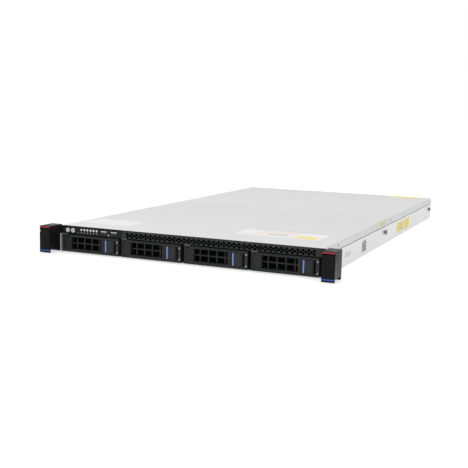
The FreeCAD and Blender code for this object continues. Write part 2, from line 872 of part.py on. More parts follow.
def drum(r, length, x, y, sides):
    """A many-sided drum along y on a fan's axis."""
    return prism(many_sided(r, sides, lambda a, b: V(x + a, y, fan_z + b)), V(0, length, 0))


def fan_frame(i):
    x, half = fan_x(i), fan_size / 2
    back = fan_y + fan_l
    frame = box(x - half, x + half, fan_y, back, fan_z - half, fan_z + half)
    bore = drum(fan_bore_r, fan_l + 2, x, fan_y - 1, fan_bore_sides)
    across = box(x - half, x + half, back - fan_strut, back, fan_z - fan_strut / 2,
                 fan_z + fan_strut / 2)
    upright = box(x - fan_strut / 2, x + fan_strut / 2, back - fan_strut, back,
                  fan_z - half, fan_z + half)
    hub = drum(fan_hub_r, fan_strut, x, back - fan_strut, fan_hub_sides)
    shaft_l = fan_rotor_gap + fan_hub_l
    shaft = drum(fan_shaft_r, shaft_l, x, back - fan_strut - shaft_l, fan_shaft_sides)
    return join([cut(frame, [bore]), across, upright, hub, shaft])


def fan_frames():
    return group([fan_frame(i) for i in range(fan_count)])


def fan_blade(x, y_mid, turn):
    """A flat blade, pitched about its own radius and set round the hub."""
    lean = math.radians(fan_pitch_deg)
    spread = fan_chord / 2 * math.sin(lean) + fan_blade_t
    tip = math.sqrt((fan_bore_r - fan_tip_gap) ** 2 - spread ** 2)
    root = fan_hub_r * 0.8
    blade = Part.makeBox(fan_blade_t, fan_chord, tip - root,
                         V(-fan_blade_t / 2, -fan_chord / 2, root))
    blade.rotate(V(0, 0, 0), V(0, 0, 1), fan_pitch_deg)
    blade.rotate(V(0, 0, 0), V(0, 1, 0), turn)
    blade.translate(V(x, y_mid, fan_z))
    return blade


def fan_rotor(i):
    x = fan_x(i)
    back = fan_y + fan_l - fan_strut - fan_rotor_gap
    hub = drum(fan_hub_r, fan_hub_l, x, back - fan_hub_l, fan_hub_sides)
    y_mid = back - fan_hub_l / 2
    blades = [fan_blade(x, y_mid, 360.0 * k / fan_blades) for k in range(fan_blades)]
    bore = drum(fan_shaft_r + fan_shaft_fit, fan_hub_l + 2, x, back - fan_hub_l - 1,
                fan_shaft_sides)
    return join([hub] + blades).cut(bore)


def memory_xs():
    """Centres of the memory modules: one bank outside each processor."""
    first = socket_x + sink_w / 2 + memory_pitch
    bank = [first + k * memory_pitch for k in range(memory_count)]
    return [-x for x in reversed(bank)] + bank


def system_board():
    x0, x1 = -upper_x + main_margin, upper_x - main_margin
    wide = box(x0, x1, main_y, power_board_y - 2 * cage_sheet, board_z, board_top)
    rear = box(bay_x1 + 2 * main_margin, x1, main_y, chassis_rear - base_sheet, board_z, board_top)
    blocks = []
    for side in (-1, 1):
        x = side * socket_x
        blocks.append(box(x - socket_w / 2, x + socket_w / 2, socket_y - socket_l / 2,
                          socket_y + socket_l / 2, board_top, board_top + socket_t))
    for x in memory_xs():
        blocks.append(box(x - memory_socket_w / 2, x + memory_socket_w / 2,
                          socket_y - memory_l / 2 - 3, socket_y + memory_l / 2 + 3,
                          board_top, board_top + memory_socket_h))
    return join([wide, rear] + blocks)


def memory_modules():
    z0 = board_top + memory_socket_h
    return group([box(x - memory_t / 2, x + memory_t / 2, socket_y - memory_l / 2,
                      socket_y + memory_l / 2, z0, wall_top - memory_head)
                  for x in memory_xs()])


def heat_sink(side):
    x0 = side * socket_x - sink_w / 2
    y0, z0 = socket_y - sink_l / 2, board_top + socket_t
    z1 = wall_top - sink_head
    base = box(x0, x0 + sink_w, y0, y0 + sink_l, z0, z0 + sink_base)
    step = (sink_w - sink_fin_t) / (sink_fins - 1)
    fins = [box(x0 + k * step, x0 + k * step + sink_fin_t, y0, y0 + sink_l, z0, z1)
            for k in range(sink_fins)]
    return join([base] + fins)


def cpu_heatsinks():
    return group([heat_sink(side) for side in (-1, 1)])


def air_baffle():
    x = upper_x - main_margin - baffle_inset
    z1 = wall_top - baffle_t / 2
    outer = box(-x, x, main_y + 1, baffle_y + baffle_l, board_top, z1)
    inner = box(-x + baffle_t, x - baffle_t, main_y, baffle_y + baffle_l + 1,
                board_top - 1, z1 - baffle_t)
    return outer.cut(inner)


def riser_card():
    y0 = chassis_rear - riser_rear - riser_l
    x1 = riser_x + board_t
    card = box(riser_x, x1, y0, y0 + riser_l, board_top, board_top + riser_h)
    slot = box(x1, x1 + riser_slot_w, y0 + riser_slot_inset, y0 + riser_slot_inset + riser_slot_l,
               riser_slot_z, riser_slot_z + riser_slot_h)
    return join([card, slot])


def supply_plugs(grow, y0, y1):
    """Blocks on the centres of the supplies' plugs, grown to cut their windows."""
    plugs = []
    for k in range(supply_count):
        x = supply_left(k) + supply_w / 2
        half = supply_plug_w / 2 + grow
        z = supply_z + supply_plug_z
        plugs.append(box(x - half, x + half, y0, y1, z - grow, z + supply_plug_h + grow))
    return plugs


def power_board():
    """The board that joins the supplies, on the front of their bulkhead."""
    board = box(supply_x, bay_x1, power_board_y, bulkhead_y, supply_z + 2,
                supply_z + supply_h - 3)
    return join([board] + supply_plugs(0, bulkhead_y, supply_front - 0.1))


def supply_bay():
    """A bulkhead with a wall beside each supply."""
    z1 = wall_top - supply_play
    pieces = [box(-upper_x, bay_x1 + supply_gap + cage_sheet, bulkhead_y,
                  bulkhead_y + cage_sheet, base_sheet, z1)]
    for k in range(supply_count):
        x = supply_left(k) + supply_w + supply_gap
        pieces.append(box(x, x + cage_sheet, bulkhead_y, chassis_rear - base_sheet,
                          base_sheet, z1))
    windows = supply_plugs(plug_gap, bulkhead_y - 1, bulkhead_y + cage_sheet + 1)
    return cut(join(pieces), windows)


# ---- rear ----
def port_block(x, w, h, wall, depth):
    y1 = chassis_rear + socket_proud
    block = box(x, x + w, y1 - depth - socket_back, y1, board_top, board_top + h)
    mouth = box(x + wall, x + w - wall, y1 - depth, y1 + 1, board_top + wall / 2 + 0.4,
                board_top + h - wall / 2 - 0.4)
    return cut(block, [mouth])


def rear_ports():
    return group([port_block(bay_x1 + inset, *sizes) for inset, *sizes in sockets])


def slot_covers():
    plates = []
    for x, w in slots:
        y1 = chassis_rear - base_sheet
        lap = box(x - slot_lap, x + w + slot_lap, y1 - cover_plate_t, y1,
                  slot_z - slot_lap / 2, slot_z + slot_h + slot_lap / 2)
        plug = box(x + socket_gap, x + w - socket_gap, y1, chassis_rear,
                   slot_z + socket_gap, slot_z + slot_h - socket_gap)
        plates.append(join([lap, plug]))
    return group(plates)


def supply_left(k):
    return supply_x + k * supply_pitch


def inlet_outline(x0, y, grow):
    """A mains inlet outline: a rectangle with its two upper corners cut off."""
    z0 = supply_z + inlet_z
    a, b, c, d = x0 - grow, x0 + inlet_w + grow, z0 - grow, z0 + inlet_h + grow
    k = inlet_chamfer
    return [V(a, y, c), V(b, y, c), V(b, y, d - k), V(b - k, y, d), V(a + k, y, d), V(a, y, d - k)]


def supply_pins(x0):
    """The inlet's three blades, standing on its floor."""
    mid_x, mid_z = x0 + inlet_w / 2, supply_z + inlet_z + inlet_h / 2
    y0 = chassis_rear - inlet_depth
    spots = ((0, 3), (-7, -2), (7, -2))
    return [box(mid_x + dx - blade_t / 2, mid_x + dx + blade_t / 2, y0 - 1, y0 + blade_l,
                mid_z + dz - blade_w / 2, mid_z + dz + blade_w / 2) for dx, dz in spots]


def supply_grill(x):
    """Slots of the supply's fan outlet."""
    z0, z1 = supply_z + grill_inset, supply_z + supply_h - grill_inset
    step = (z1 - z0 + grill_bar) / grill_bars
    return [box(x + grill_inset, x + grill_inset + grill_w, chassis_rear - grill_depth,
                chassis_rear + 1, z0 + n * step, z0 + (n + 1) * step - grill_bar)
            for n in range(grill_bars)]


def catch_slot(x):
    z = supply_z + catch_z
    return box(x + catch_x - catch_play, x + catch_x + catch_w + catch_travel + catch_play,
               chassis_rear - catch_pocket, chassis_rear + 1, z - catch_play,
               z + catch_h + catch_play)


def pull_loop(x):
    """A pull loop: a flat strap bent out from the supply's rear."""
    z = supply_z + loop_z
    y0, y1 = chassis_rear, chassis_rear + loop_reach
    outer = box(x, x + loop_w, y0, y1, z, z + loop_h)
    edges = [e for e in outer.Edges if abs(e.CenterOfMass.y - y1) < 0.01
             and abs(e.CenterOfMass.z - z - loop_h / 2) < 0.01]
    outer = outer.makeFillet(loop_round, edges)
    gap = box(x + loop_t, x + loop_w - loop_t, y0 - 1, y1 - loop_t, z - 1, z + loop_h + 1)
    return outer.cut(gap)


def supply(k):
    x = supply_left(k)
    body = box(x, x + supply_w, supply_front, chassis_rear, supply_z, supply_z + supply_h)
    rim_x = x + inlet_x
    rim = prism(inlet_outline(rim_x, chassis_rear, inlet_rim), V(0, inlet_rim, 0))
    mouth = prism(inlet_outline(rim_x, chassis_rear - inlet_depth, 0), V(0, inlet_depth + 3, 0))
    body = cut(join([body, rim]), [mouth, catch_slot(x)] + supply_grill(x))
    return join([body, pull_loop(x + loop_x)] + supply_pins(rim_x))


def supply_catch(k):
    """A thumb catch that slides sideways in its slot."""
    x = supply_left(k) + catch_x
    z = supply_z + catch_z
    foot = box(x, x + catch_w, chassis_rear - catch_pocket + catch_play, chassis_rear,
               z, z + catch_h)
    thumb = box(x + catch_w / 4, x + 3 * catch_w / 4, chassis_rear, chassis_rear + catch_reach,
                z, z + catch_h)
    return join([foot, thumb])


# ---- every node ----
def all_parts():
    parts = {"chassis_base": chassis_base(), "front_cover": front_cover(),
             "rear_cover": rear_cover(), "rail_studs": rail_studs(), "drive_cage": drive_cage(),
             "grille_bezel": grille_bezel(), "control_panel": control_panel(),
             "control_board": control_board(), "power_button": round_button(power_x),
             "id_button": round_button(id_x), "status_lights": status_lights(),
             "front_ports": front_ports(), "right_ear": ear(), "left_ear": mirror_x(ear()),
             "right_ear_lever": ear_lever(), "left_ear_lever": mirror_x(ear_lever()),
             "rack_screws": rack_screws(), "backplane": backplane(),
             "fan_partition": fan_partition(), "fan_frames": fan_frames(),
             "system_board": system_board(), "cpu_heatsinks": cpu_heatsinks(),
             "memory_modules": memory_modules(), "air_baffle": air_baffle(),
             "riser_card": riser_card(), "power_board": power_board(),
             "supply_bay": supply_bay(), "rear_ports": rear_ports(), "slot_covers": slot_covers()}
    for i in range(bay_count):
        parts["tray_%d" % (i + 1)] = tray(i)
        parts["tray_handle_%d" % (i + 1)] = tray_handle(i)
        parts["tray_latch_%d" % (i + 1)] = tray_latch(i)
        parts["tray_lights_%d" % (i + 1)] = tray_lights(i)
        parts["drive_%d" % (i + 1)] = drive(i)
    for i in range(fan_count):
        parts["fan_rotor_%d" % (i + 1)] = fan_rotor(i)
    for k in range(supply_count):
        parts["supply_%d" % (k + 1)] = supply(k)
        parts["supply_catch_%d" % (k + 1)] = supply_catch(k)
    return parts


os.makedirs("parts", exist_ok=True)
for node, shape in all_parts().items():
    shape.exportStep("parts/%s.step" % node)
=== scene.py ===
import json
import math

import bmesh
import bpy
from bpy.props import FloatProperty, FloatVectorProperty, PointerProperty, StringProperty
from mathutils import Matrix, Vector


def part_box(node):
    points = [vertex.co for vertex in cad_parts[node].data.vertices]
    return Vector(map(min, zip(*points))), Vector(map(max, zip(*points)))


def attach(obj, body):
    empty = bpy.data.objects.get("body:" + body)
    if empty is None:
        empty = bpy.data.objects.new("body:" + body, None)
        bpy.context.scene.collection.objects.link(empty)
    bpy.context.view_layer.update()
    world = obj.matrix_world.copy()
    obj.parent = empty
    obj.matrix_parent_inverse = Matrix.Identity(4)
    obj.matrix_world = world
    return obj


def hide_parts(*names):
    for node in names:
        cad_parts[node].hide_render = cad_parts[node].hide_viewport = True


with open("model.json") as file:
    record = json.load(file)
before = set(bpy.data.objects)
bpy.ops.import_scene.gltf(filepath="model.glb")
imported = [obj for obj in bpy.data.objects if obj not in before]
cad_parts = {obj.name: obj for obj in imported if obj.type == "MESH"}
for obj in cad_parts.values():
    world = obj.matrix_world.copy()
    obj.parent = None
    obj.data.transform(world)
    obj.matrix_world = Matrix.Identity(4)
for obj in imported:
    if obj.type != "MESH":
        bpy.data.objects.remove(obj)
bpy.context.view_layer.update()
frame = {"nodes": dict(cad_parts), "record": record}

bl_info = {
    "name": "Rack Server Finish",
    "version": (1, 0, 0),
    "blender": (4, 5, 0),
    "location": "View3D > Sidebar > Server",
    "description": "Dresses the framed rack server with edges, finishes, labels and a studio",
    "category": "Object",
}


def numbered(stem):
    """The numbers of the nodes that are called stem and a number."""
    return sorted(node[len(stem):] for node in frame["nodes"]
                  if node.startswith(stem) and node[len(stem):].isdigit())


TRAYS = numbered("tray_")
SUPPLIES = numbered("supply_")
BODY_OF = {node: body for body, nodes in frame["record"]["behaviour"]["bodies"].items()
           for node in nodes}
NODE_SLOT = {part["node"]: part["material_slot"] for part in frame["record"]["subparts"]}

# Sizes are in mm unless they say otherwise, and MM turns them to metres. Seen from the front,
# x runs right from the middle, y back from the ears' rear faces, and z up from the foot.
MM = 0.001
INK = 0.06                   # thickness of printed marks, textured inlays and the thin discs and strips of painted shade
WELD = 0.002                 # points nearer than this are one point
FLAT = math.radians(0.1)     # faces that turn less than this are one face
SHARP = math.radians(30)     # edges that turn more than this are rounded
SIDEWAYS = 0.8               # a face looks sideways when its normal's x is more than this, and may take painted side shade
FINE = 0.6                   # rounding of small mouldings, as a share of the moulded edge


# ---- colours and shader nodes ----
def linear(code):
    """An sRGB hex colour as the linear RGBA that shaders take."""
    channels = [int(code[k:k + 2], 16) / 255 for k in (1, 3, 5)]
    return tuple(c / 12.92 if c <= 0.04045 else ((c + 0.055) / 1.055) ** 2.4
                 for c in channels) + (1.0,)


def per_mm(size_mm):
    """A texture scale that makes one feature about size_mm across."""
    return 1 / (size_mm * MM)


def add_node(tree, kind, inputs=None, **settings):
    """Adds one node. A value given for an input is set, and a socket is linked."""
    node = tree.nodes.new(kind)
    for name, value in settings.items():
        setattr(node, name, value)
    for key, value in (inputs or {}).items():
        if isinstance(value, bpy.types.NodeSocket):
            tree.links.new(value, node.inputs[key])
        else:
            node.inputs[key].default_value = value
    return node


def new_material(name):
    """An empty material and its node tree."""
    material = bpy.data.materials.new(name)
    material.use_nodes = True
    material.node_tree.nodes.clear()
    return material, material.node_tree


# The two colour inputs and the colour output of a Mix node that mixes colours.
MIX_A, MIX_B, MIXED = 6, 7, 2


# ---- materials ----
def zinc_steel(name, tone, shade, roughness=0.42, metallic=0.55):
    """Zinc-coated sheet steel, cold rolled: pale and satin, with a fine grain along the roll and
    a faint cloud where the coating is thicker."""
    # The real grain is about 0.1 mm wide, too fine to show, so it is drawn coarser.
    cloud_mm, grain_mm, stretch = 30, 0.8, (1, 0.2, 1)
    material, tree = new_material(name)
    place = add_node(tree, "ShaderNodeTexCoord").outputs["Object"]
    along_roll = add_node(tree, "ShaderNodeMapping", {"Vector": place, "Scale": stretch})
    cloud = add_node(tree, "ShaderNodeTexNoise", {
        "Vector": along_roll.outputs["Vector"], "Scale": per_mm(cloud_mm)})
    grain = add_node(tree, "ShaderNodeTexNoise", {
        "Vector": along_roll.outputs["Vector"], "Scale": per_mm(grain_mm)})
    tones = add_node(tree, "ShaderNodeMix", {
        "Factor": cloud.outputs["Fac"], MIX_A: linear(shade), MIX_B: linear(tone)},
        data_type="RGBA")
    gloss = add_node(tree, "ShaderNodeMapRange", {
        "Value": grain.outputs["Fac"], "To Min": roughness - 0.05, "To Max": roughness + 0.07})
    relief = add_node(tree, "ShaderNodeBump", {
        "Height": grain.outputs["Fac"], "Distance": 0.01 * MM, "Strength": 0.3})
    shader = add_node(tree, "ShaderNodeBsdfPrincipled", {
        "Base Color": tones.outputs[MIXED], "Metallic": metallic,
        "Roughness": gloss.outputs["Result"], "Normal": relief.outputs["Normal"]})
    add_node(tree, "ShaderNodeOutputMaterial", {"Surface": shader.outputs["BSDF"]})
    return material


def moulded_plastic(name, colour, worn, roughness, texture_mm=0.6, ior=1.4):
    """Moulded ABS, nylon or another plastic: a spark-eroded skin of fine even pits, a soft
    sheen, and slightly paler patches where hands have polished it."""
    # The real pits are about 0.1 mm across, too fine to show, so they are drawn coarser.
    patch_mm = 18
    material, tree = new_material(name)
    place = add_node(tree, "ShaderNodeTexCoord").outputs["Object"]
    pits = add_node(tree, "ShaderNodeTexNoise", {
        "Vector": place, "Scale": per_mm(texture_mm)})
    patches = add_node(tree, "ShaderNodeTexNoise", {
        "Vector": place, "Scale": per_mm(patch_mm)})
    tones = add_node(tree, "ShaderNodeMix", {
        "Factor": patches.outputs["Fac"], MIX_A: linear(colour), MIX_B: linear(worn)},
        data_type="RGBA")
    gloss = add_node(tree, "ShaderNodeMapRange", {
        "Value": patches.outputs["Fac"], "To Min": roughness - 0.05, "To Max": roughness + 0.05})
    relief = add_node(tree, "ShaderNodeBump", {
        "Height": pits.outputs["Fac"], "Distance": 0.03 * MM, "Strength": 0.35})
    shader = add_node(tree, "ShaderNodeBsdfPrincipled", {
        "Base Color": tones.outputs[MIXED], "Roughness": gloss.outputs["Result"], "IOR": ior,
        "Normal": relief.outputs["Normal"]})
    add_node(tree, "ShaderNodeOutputMaterial", {"Surface": shader.outputs["BSDF"]})
    return material


def plated_metal(name, colour, roughness):
    """Plated or machined metal: clean and fairly bright, with fine tool marks."""
    # The real marks are about 0.05 mm apart, too fine to show, so they are drawn coarser.
    mark_mm, stretch = 0.5, (1, 0.1, 1)
    material, tree = new_material(name)
    place = add_node(tree, "ShaderNodeTexCoord").outputs["Object"]
    along_cut = add_node(tree, "ShaderNodeMapping", {"Vector": place, "Scale": stretch})
    marks = add_node(tree, "ShaderNodeTexNoise", {
        "Vector": along_cut.outputs["Vector"], "Scale": per_mm(mark_mm)})
    gloss = add_node(tree, "ShaderNodeMapRange", {
        "Value": marks.outputs["Fac"], "To Min": roughness - 0.05, "To Max": roughness + 0.08})
    relief = add_node(tree, "ShaderNodeBump", {
        "Height": marks.outputs["Fac"], "Distance": 0.01 * MM, "Strength": 0.3})
    shader = add_node(tree, "ShaderNodeBsdfPrincipled", {
        "Base Color": linear(colour), "Metallic": 1.0, "Roughness": gloss.outputs["Result"],
        "Normal": relief.outputs["Normal"]})
    add_node(tree, "ShaderNodeOutputMaterial", {"Surface": shader.outputs["BSDF"]})
    return material


def coated_casting(name, colour, bare):
    """Cast aluminium under a thin dark coat: mottled and dull, a little paler at high spots."""
    mottle_mm = 1.6
    material, tree = new_material(name)
    place = add_node(tree, "ShaderNodeTexCoord").outputs["Object"]
    skin = add_node(tree, "ShaderNodeTexNoise", {
        "Vector": place, "Scale": per_mm(mottle_mm), "Detail": 4.0})
    tones = add_node(tree, "ShaderNodeMix", {
        "Factor": skin.outputs["Fac"], MIX_A: linear(colour), MIX_B: linear(bare)},
        data_type="RGBA")
    relief = add_node(tree, "ShaderNodeBump", {
        "Height": skin.outputs["Fac"], "Distance": 0.03 * MM, "Strength": 0.5})
    shader = add_node(tree, "ShaderNodeBsdfPrincipled", {
        "Base Color": tones.outputs[MIXED], "Roughness": 0.75, "IOR": 1.25,
        "Normal": relief.outputs["Normal"]})
    add_node(tree, "ShaderNodeOutputMaterial", {"Surface": shader.outputs["BSDF"]})
    return material


def circuit_board(name, colour, trace):
    """Glass-epoxy board under solder mask: glossy, with copper areas just showing through."""
    # One repeat is two blocks wide and four high. Real tracks, of 0.2 mm, are too fine to show.
    repeat_mm, gap = 9, 0.03
    material, tree = new_material(name)
    place = add_node(tree, "ShaderNodeTexCoord").outputs["Object"]
    tracks = add_node(tree, "ShaderNodeTexBrick", {
        "Vector": place, "Scale": per_mm(repeat_mm), "Color1": linear(colour),
        "Color2": linear(trace), "Mortar": linear(colour), "Mortar Size": gap})
    shader = add_node(tree, "ShaderNodeBsdfPrincipled", {
        "Base Color": tracks.outputs["Color"], "Roughness": 0.3, "Coat Weight": 0.3})
    add_node(tree, "ShaderNodeOutputMaterial", {"Surface": shader.outputs["BSDF"]})
    return material


def light_pipe(name, colour, clear):
    """Polycarbonate light pipe: pale, glossy, and cloudy inside where light scatters."""
    cloud_mm, scatter = 2, (2 * MM, 2 * MM, 2 * MM)
    material, tree = new_material(name)
    place = add_node(tree, "ShaderNodeTexCoord").outputs["Object"]
    cloud = add_node(tree, "ShaderNodeTexNoise", {
        "Vector": place, "Scale": per_mm(cloud_mm)})
    tones = add_node(tree, "ShaderNodeMix", {
        "Factor": cloud.outputs["Fac"], MIX_A: linear(colour), MIX_B: linear(clear)},
        data_type="RGBA")
    shader = add_node(tree, "ShaderNodeBsdfPrincipled", {
        "Base Color": tones.outputs[MIXED], "Roughness": 0.18, "IOR": 1.58,
        "Subsurface Weight": 0.15, "Subsurface Radius": scatter})
    add_node(tree, "ShaderNodeOutputMaterial", {"Surface": shader.outputs["BSDF"]})
    return material


def printed_film(name, colour, shade, roughness=0.45):
    """Printed polyester film or screen-printed ink: smooth, with a faint pull in the film."""
    pull_mm = 25
    material, tree = new_material(name)
    place = add_node(tree, "ShaderNodeTexCoord").outputs["Object"]
    pull = add_node(tree, "ShaderNodeTexNoise", {
        "Vector": place, "Scale": per_mm(pull_mm), "Detail": 1.0})
    tones = add_node(tree, "ShaderNodeMix", {
        "Factor": pull.outputs["Fac"], MIX_A: linear(shade), MIX_B: linear(colour)},
        data_type="RGBA")
    relief = add_node(tree, "ShaderNodeBump", {
        "Height": pull.outputs["Fac"], "Distance": 0.04 * MM, "Strength": 0.2})
    shader = add_node(tree, "ShaderNodeBsdfPrincipled", {
        "Base Color": tones.outputs[MIXED], "Roughness": roughness, "Specular IOR Level": 0.4,
        "Normal": relief.outputs["Normal"]})
    add_node(tree, "ShaderNodeOutputMaterial", {"Surface": shader.outputs["BSDF"]})
    return material


def build_finishes(tint):
    """Every material, by a short key."""
    return {
        "lid": zinc_steel("Zinc-coated steel sheet, lid", tint.steel, tint.steel_shade),
        # The flanges' darker tone is painted shade: the same sheet as the lid, darker on its sideways
        # faces.
        "flange": zinc_steel("Zinc-coated steel sheet, sides in painted shade", "#e0e0e1", "#dadadb", 0.46),
        "wall": zinc_steel("Zinc-coated steel sheet, chassis", tint.wall, "#e9e9ea", 0.46),
        "steel": zinc_steel("Zinc-coated steel sheet, rear", "#cfd0d2", "#c4c6c8", 0.4, 0.8),
        # The cage's black is painted shade on zinc-coated steel.
        "cage": zinc_steel("Zinc-coated steel sheet, black for painted shade", "#1c1d1e", "#161718", 0.5, 0.2),
        # The bay tabs' and the dimples' grey is painted shade on zinc-coated steel.
        "tab": zinc_steel("Zinc-coated steel, grey for painted shade", "#77787a", "#6c6d70", 0.45, 0.3),
        "bezel": moulded_plastic("ABS, black, spark-eroded", tint.bezel, "#191a1b", 0.42, 0.6, 1.3),
        "grille": moulded_plastic("ABS, black, open grille", "#1f2021", "#27282a", 0.36, 0.6, 1.42),
        "ear": moulded_plastic("ABS, black, fine satin", tint.ear, "#212121", 0.3, 0.5, 1.15),
        "tray": moulded_plastic("Glass-filled nylon, charcoal", tint.tray, "#292a2b", 0.44, 0.6, 1.34),
        "inlay": moulded_plastic("Glass-filled nylon, black", "#161718", "#1c1d1e", 0.5),
        "column": moulded_plastic("Glass-filled nylon, grey", "#2e2f30", "#363738", 0.5),
        "latch": moulded_plastic("ABS, dark grey, satin", tint.latch, "#2a2b2c", 0.4),
        "fan": moulded_plastic("PBT, black, moulded", "#151617", "#1e1f20", 0.5),
        "baffle": moulded_plastic("Polycarbonate sheet, black", "#131415", "#1b1c1d", 0.35),
        # Painted shade: a matt black for the plates, strips and discs set in holes, slots, seams and
        # grooves where only shade falls.
        "painted_shade": moulded_plastic("Painted shade, matt black", "#0c0c0d", "#131314", 0.8),
        "blue": moulded_plastic("ABS, touch-point blue", tint.touch_blue, "#8ea5e6", 0.38),
        "ear_blue": moulded_plastic("ABS, deep blue", tint.ear_blue, "#2f62b4", 0.34),
        "red": moulded_plastic("ABS, signal red", tint.stripe_red, "#c9323a", 0.34),
        "catch": moulded_plastic("Polypropylene, orange", "#d8622a", "#e07a40", 0.4),
        "button": moulded_plastic("ABS, white", "#efefef", "#f7f7f7", 0.32, 0.3),
        "tongue": moulded_plastic("PBT, white", "#e6e6e4", "#efefed", 0.35),
        "port": plated_metal("Nickel-plated steel", "#c9c7c2", 0.25),
        # The front ports' dark steel is painted shade in their mouths.
        "port_painted_shade": plated_metal("Nickel-plated steel, darkened as painted shade", "#3b3b3d", 0.35),
        "stud": plated_metal("Turned steel, dark zinc-plated", "#7a7c7f", 0.34),
        "gold": plated_metal("Gold-plated bronze", "#d9a441", 0.25),
        "sink": plated_metal("Extruded aluminium", "#cfd1d3", 0.35),
        # The drives' black coat is real; its near-black tone also stands in as painted shade behind
        # the handles' grilles.
        "drive": coated_casting("Cast aluminium, black-coated, darkened as painted shade", "#070808", "#0f1010"),
        "board": circuit_board("Glass-epoxy circuit board", "#1d5a3a", "#2a6b48"),
        "module": circuit_board("Glass-epoxy memory board", "#154a2e", "#1f5a3a"),
        "lamp": light_pipe("Polycarbonate light pipe, white", tint.lamp, "#ffffff"),
        "pipe": light_pipe("Polycarbonate light pipe, smoked", tint.pipe, "#a9aaab"),
        "white": printed_film("Polyester label, white", "#f7f7f7", "#f0f0f0"),
        "yellow": printed_film("Polyester label, yellow", tint.label_yellow, "#fbe768"),
        "orange": printed_film("Polyester label, pale orange", tint.label_orange, "#f3d798"),
        "ink_grey": printed_film("Screen-printed ink, grey", "#b4b5b7", "#a9aaac", 0.5),
        "ink_dark": printed_film("Screen-printed ink, black", "#303132", "#252627", 0.5),
        "ink_pale": printed_film("Screen-printed ink, pale grey", "#c9c9ca", "#bcbcbd", 0.5),
        "ink_orange": printed_film("Screen-printed ink, orange", "#faeadf", "#f7e3d6", 0.5),
    }


# The finish of each material slot.
SLOT_FINISH = {
    "zinc_steel": "wall", "lid_steel": "lid", "stud_steel": "stud", "cage_steel": "steel",
    "bezel_black": "bezel", "button_grey": "button", "lamp_lens": "lamp",
    "port_steel": "port", "ear_black": "ear", "board_green": "board", "fan_black": "fan",
    "sink_aluminium": "sink", "module_green": "module", "baffle_black": "baffle",
    "tray_black": "tray", "handle_black": "tray", "latch_black": "latch",
    "drive_aluminium": "drive", "supply_steel": "steel", "catch_orange": "catch",
}
# Nodes whose finish differs from the rest of their slot. The drive cage's black and the front ports'
# darker steel are painted shade.
NODE_FINISH = {"drive_cage": "cage", "front_ports": "port_painted_shade", "grille_bezel": "grille"}
NODE_FINISH.update(("tray_lights_" + number, "pipe") for number in TRAYS)
# The materials by their short keys, once the finishes operator has made them.
FINISH = {}


def finish_of(node):
    """The material of a CAD node."""
    return FINISH[NODE_FINISH.get(node) or SLOT_FINISH[NODE_SLOT[node]]]


# ---- mesh tools ----
def box_mm(node):
    """A node's lowest and highest corners at rest, in mm."""
    low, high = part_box(node)
    return [c / MM for c in low], [c / MM for c in high]


def settle(piece, node):
    """Gives a piece the body of the CAD node that it sits on."""
    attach(piece, BODY_OF[node])


def new_piece(name, work, finish):
    """Turns a bmesh in mm into an object in metres with one finish."""
    bmesh.ops.recalc_face_normals(work, faces=work.faces)
    work.transform(Matrix.Scale(MM, 4))
    mesh = bpy.data.meshes.new(name)
    work.to_mesh(mesh)
    work.free()
    mesh.materials.append(finish)
    piece = bpy.data.objects.new(name, mesh)
    bpy.context.scene.collection.objects.link(piece)
    return piece


def soften(piece, width_mm, segments=2):
    """Rounds the sharp edges by width_mm and keeps flat faces flat under smooth shading."""
    for face in piece.data.polygons:
        face.use_smooth = True
    edge = piece.modifiers.new("edge", "BEVEL")
    edge.width = width_mm * MM
    edge.segments = segments
    edge.limit_method = "ANGLE"
    edge.angle_limit = SHARP
    edge.harden_normals = True
    edge.use_clamp_overlap = True
    graph = bpy.context.evaluated_depsgraph_get()
    mesh = bpy.data.meshes.new_from_object(piece.evaluated_get(graph))
    piece.modifiers.clear()
    piece.data = mesh


def dress(node, width_mm, segments=2, painted_side_shade=None):
    """Stands a copy of the node with moulded or folded edges in the node's place.
    Faces that look sideways may have a finish of their own, a darker tone of painted shade."""
    source = frame["nodes"][node]
    work = bmesh.new()
    work.from_mesh(source.data)
    work.transform(Matrix.Scale(1 / MM, 4) @ source.matrix_world)
    bmesh.ops.remove_doubles(work, verts=work.verts, dist=WELD)
    bmesh.ops.dissolve_limit(work, angle_limit=FLAT, verts=work.verts, edges=work.edges)
    bmesh.ops.connect_verts_concave(work, faces=work.faces)
    piece = new_piece(node + "_dressed", work, finish_of(node))
    soften(piece, width_mm, segments)
    if painted_side_shade:
        piece.data.materials.append(FINISH[painted_side_shade])
        for face in piece.data.polygons:
            face.material_index = int(abs(face.normal.x) > SIDEWAYS)
    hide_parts(node)
    settle(piece, node)


# plates, turned and flat take a finish's short key and the CAD node that the piece sits on.
def plates(name, boxes, finish, node, edge_mm=0.1):
    """One piece made of softened boxes, each (x0, x1, y0, y1, z0, z1)."""
    sides = ((0, 1, 3, 2), (4, 6, 7, 5), (0, 4, 5, 1), (2, 3, 7, 6), (0, 2, 6, 4), (1, 5, 7, 3))
    work = bmesh.new()
    for x0, x1, y0, y1, z0, z1 in boxes:
        corners = [work.verts.new((x, y, z)) for x in (x0, x1) for y in (y0, y1)
                   for z in (z0, z1)]
        for side in sides:
            work.faces.new([corners[k] for k in side])
    piece = new_piece(name, work, FINISH[finish])
    if edge_mm:
        soften(piece, edge_mm)
    settle(piece, node)


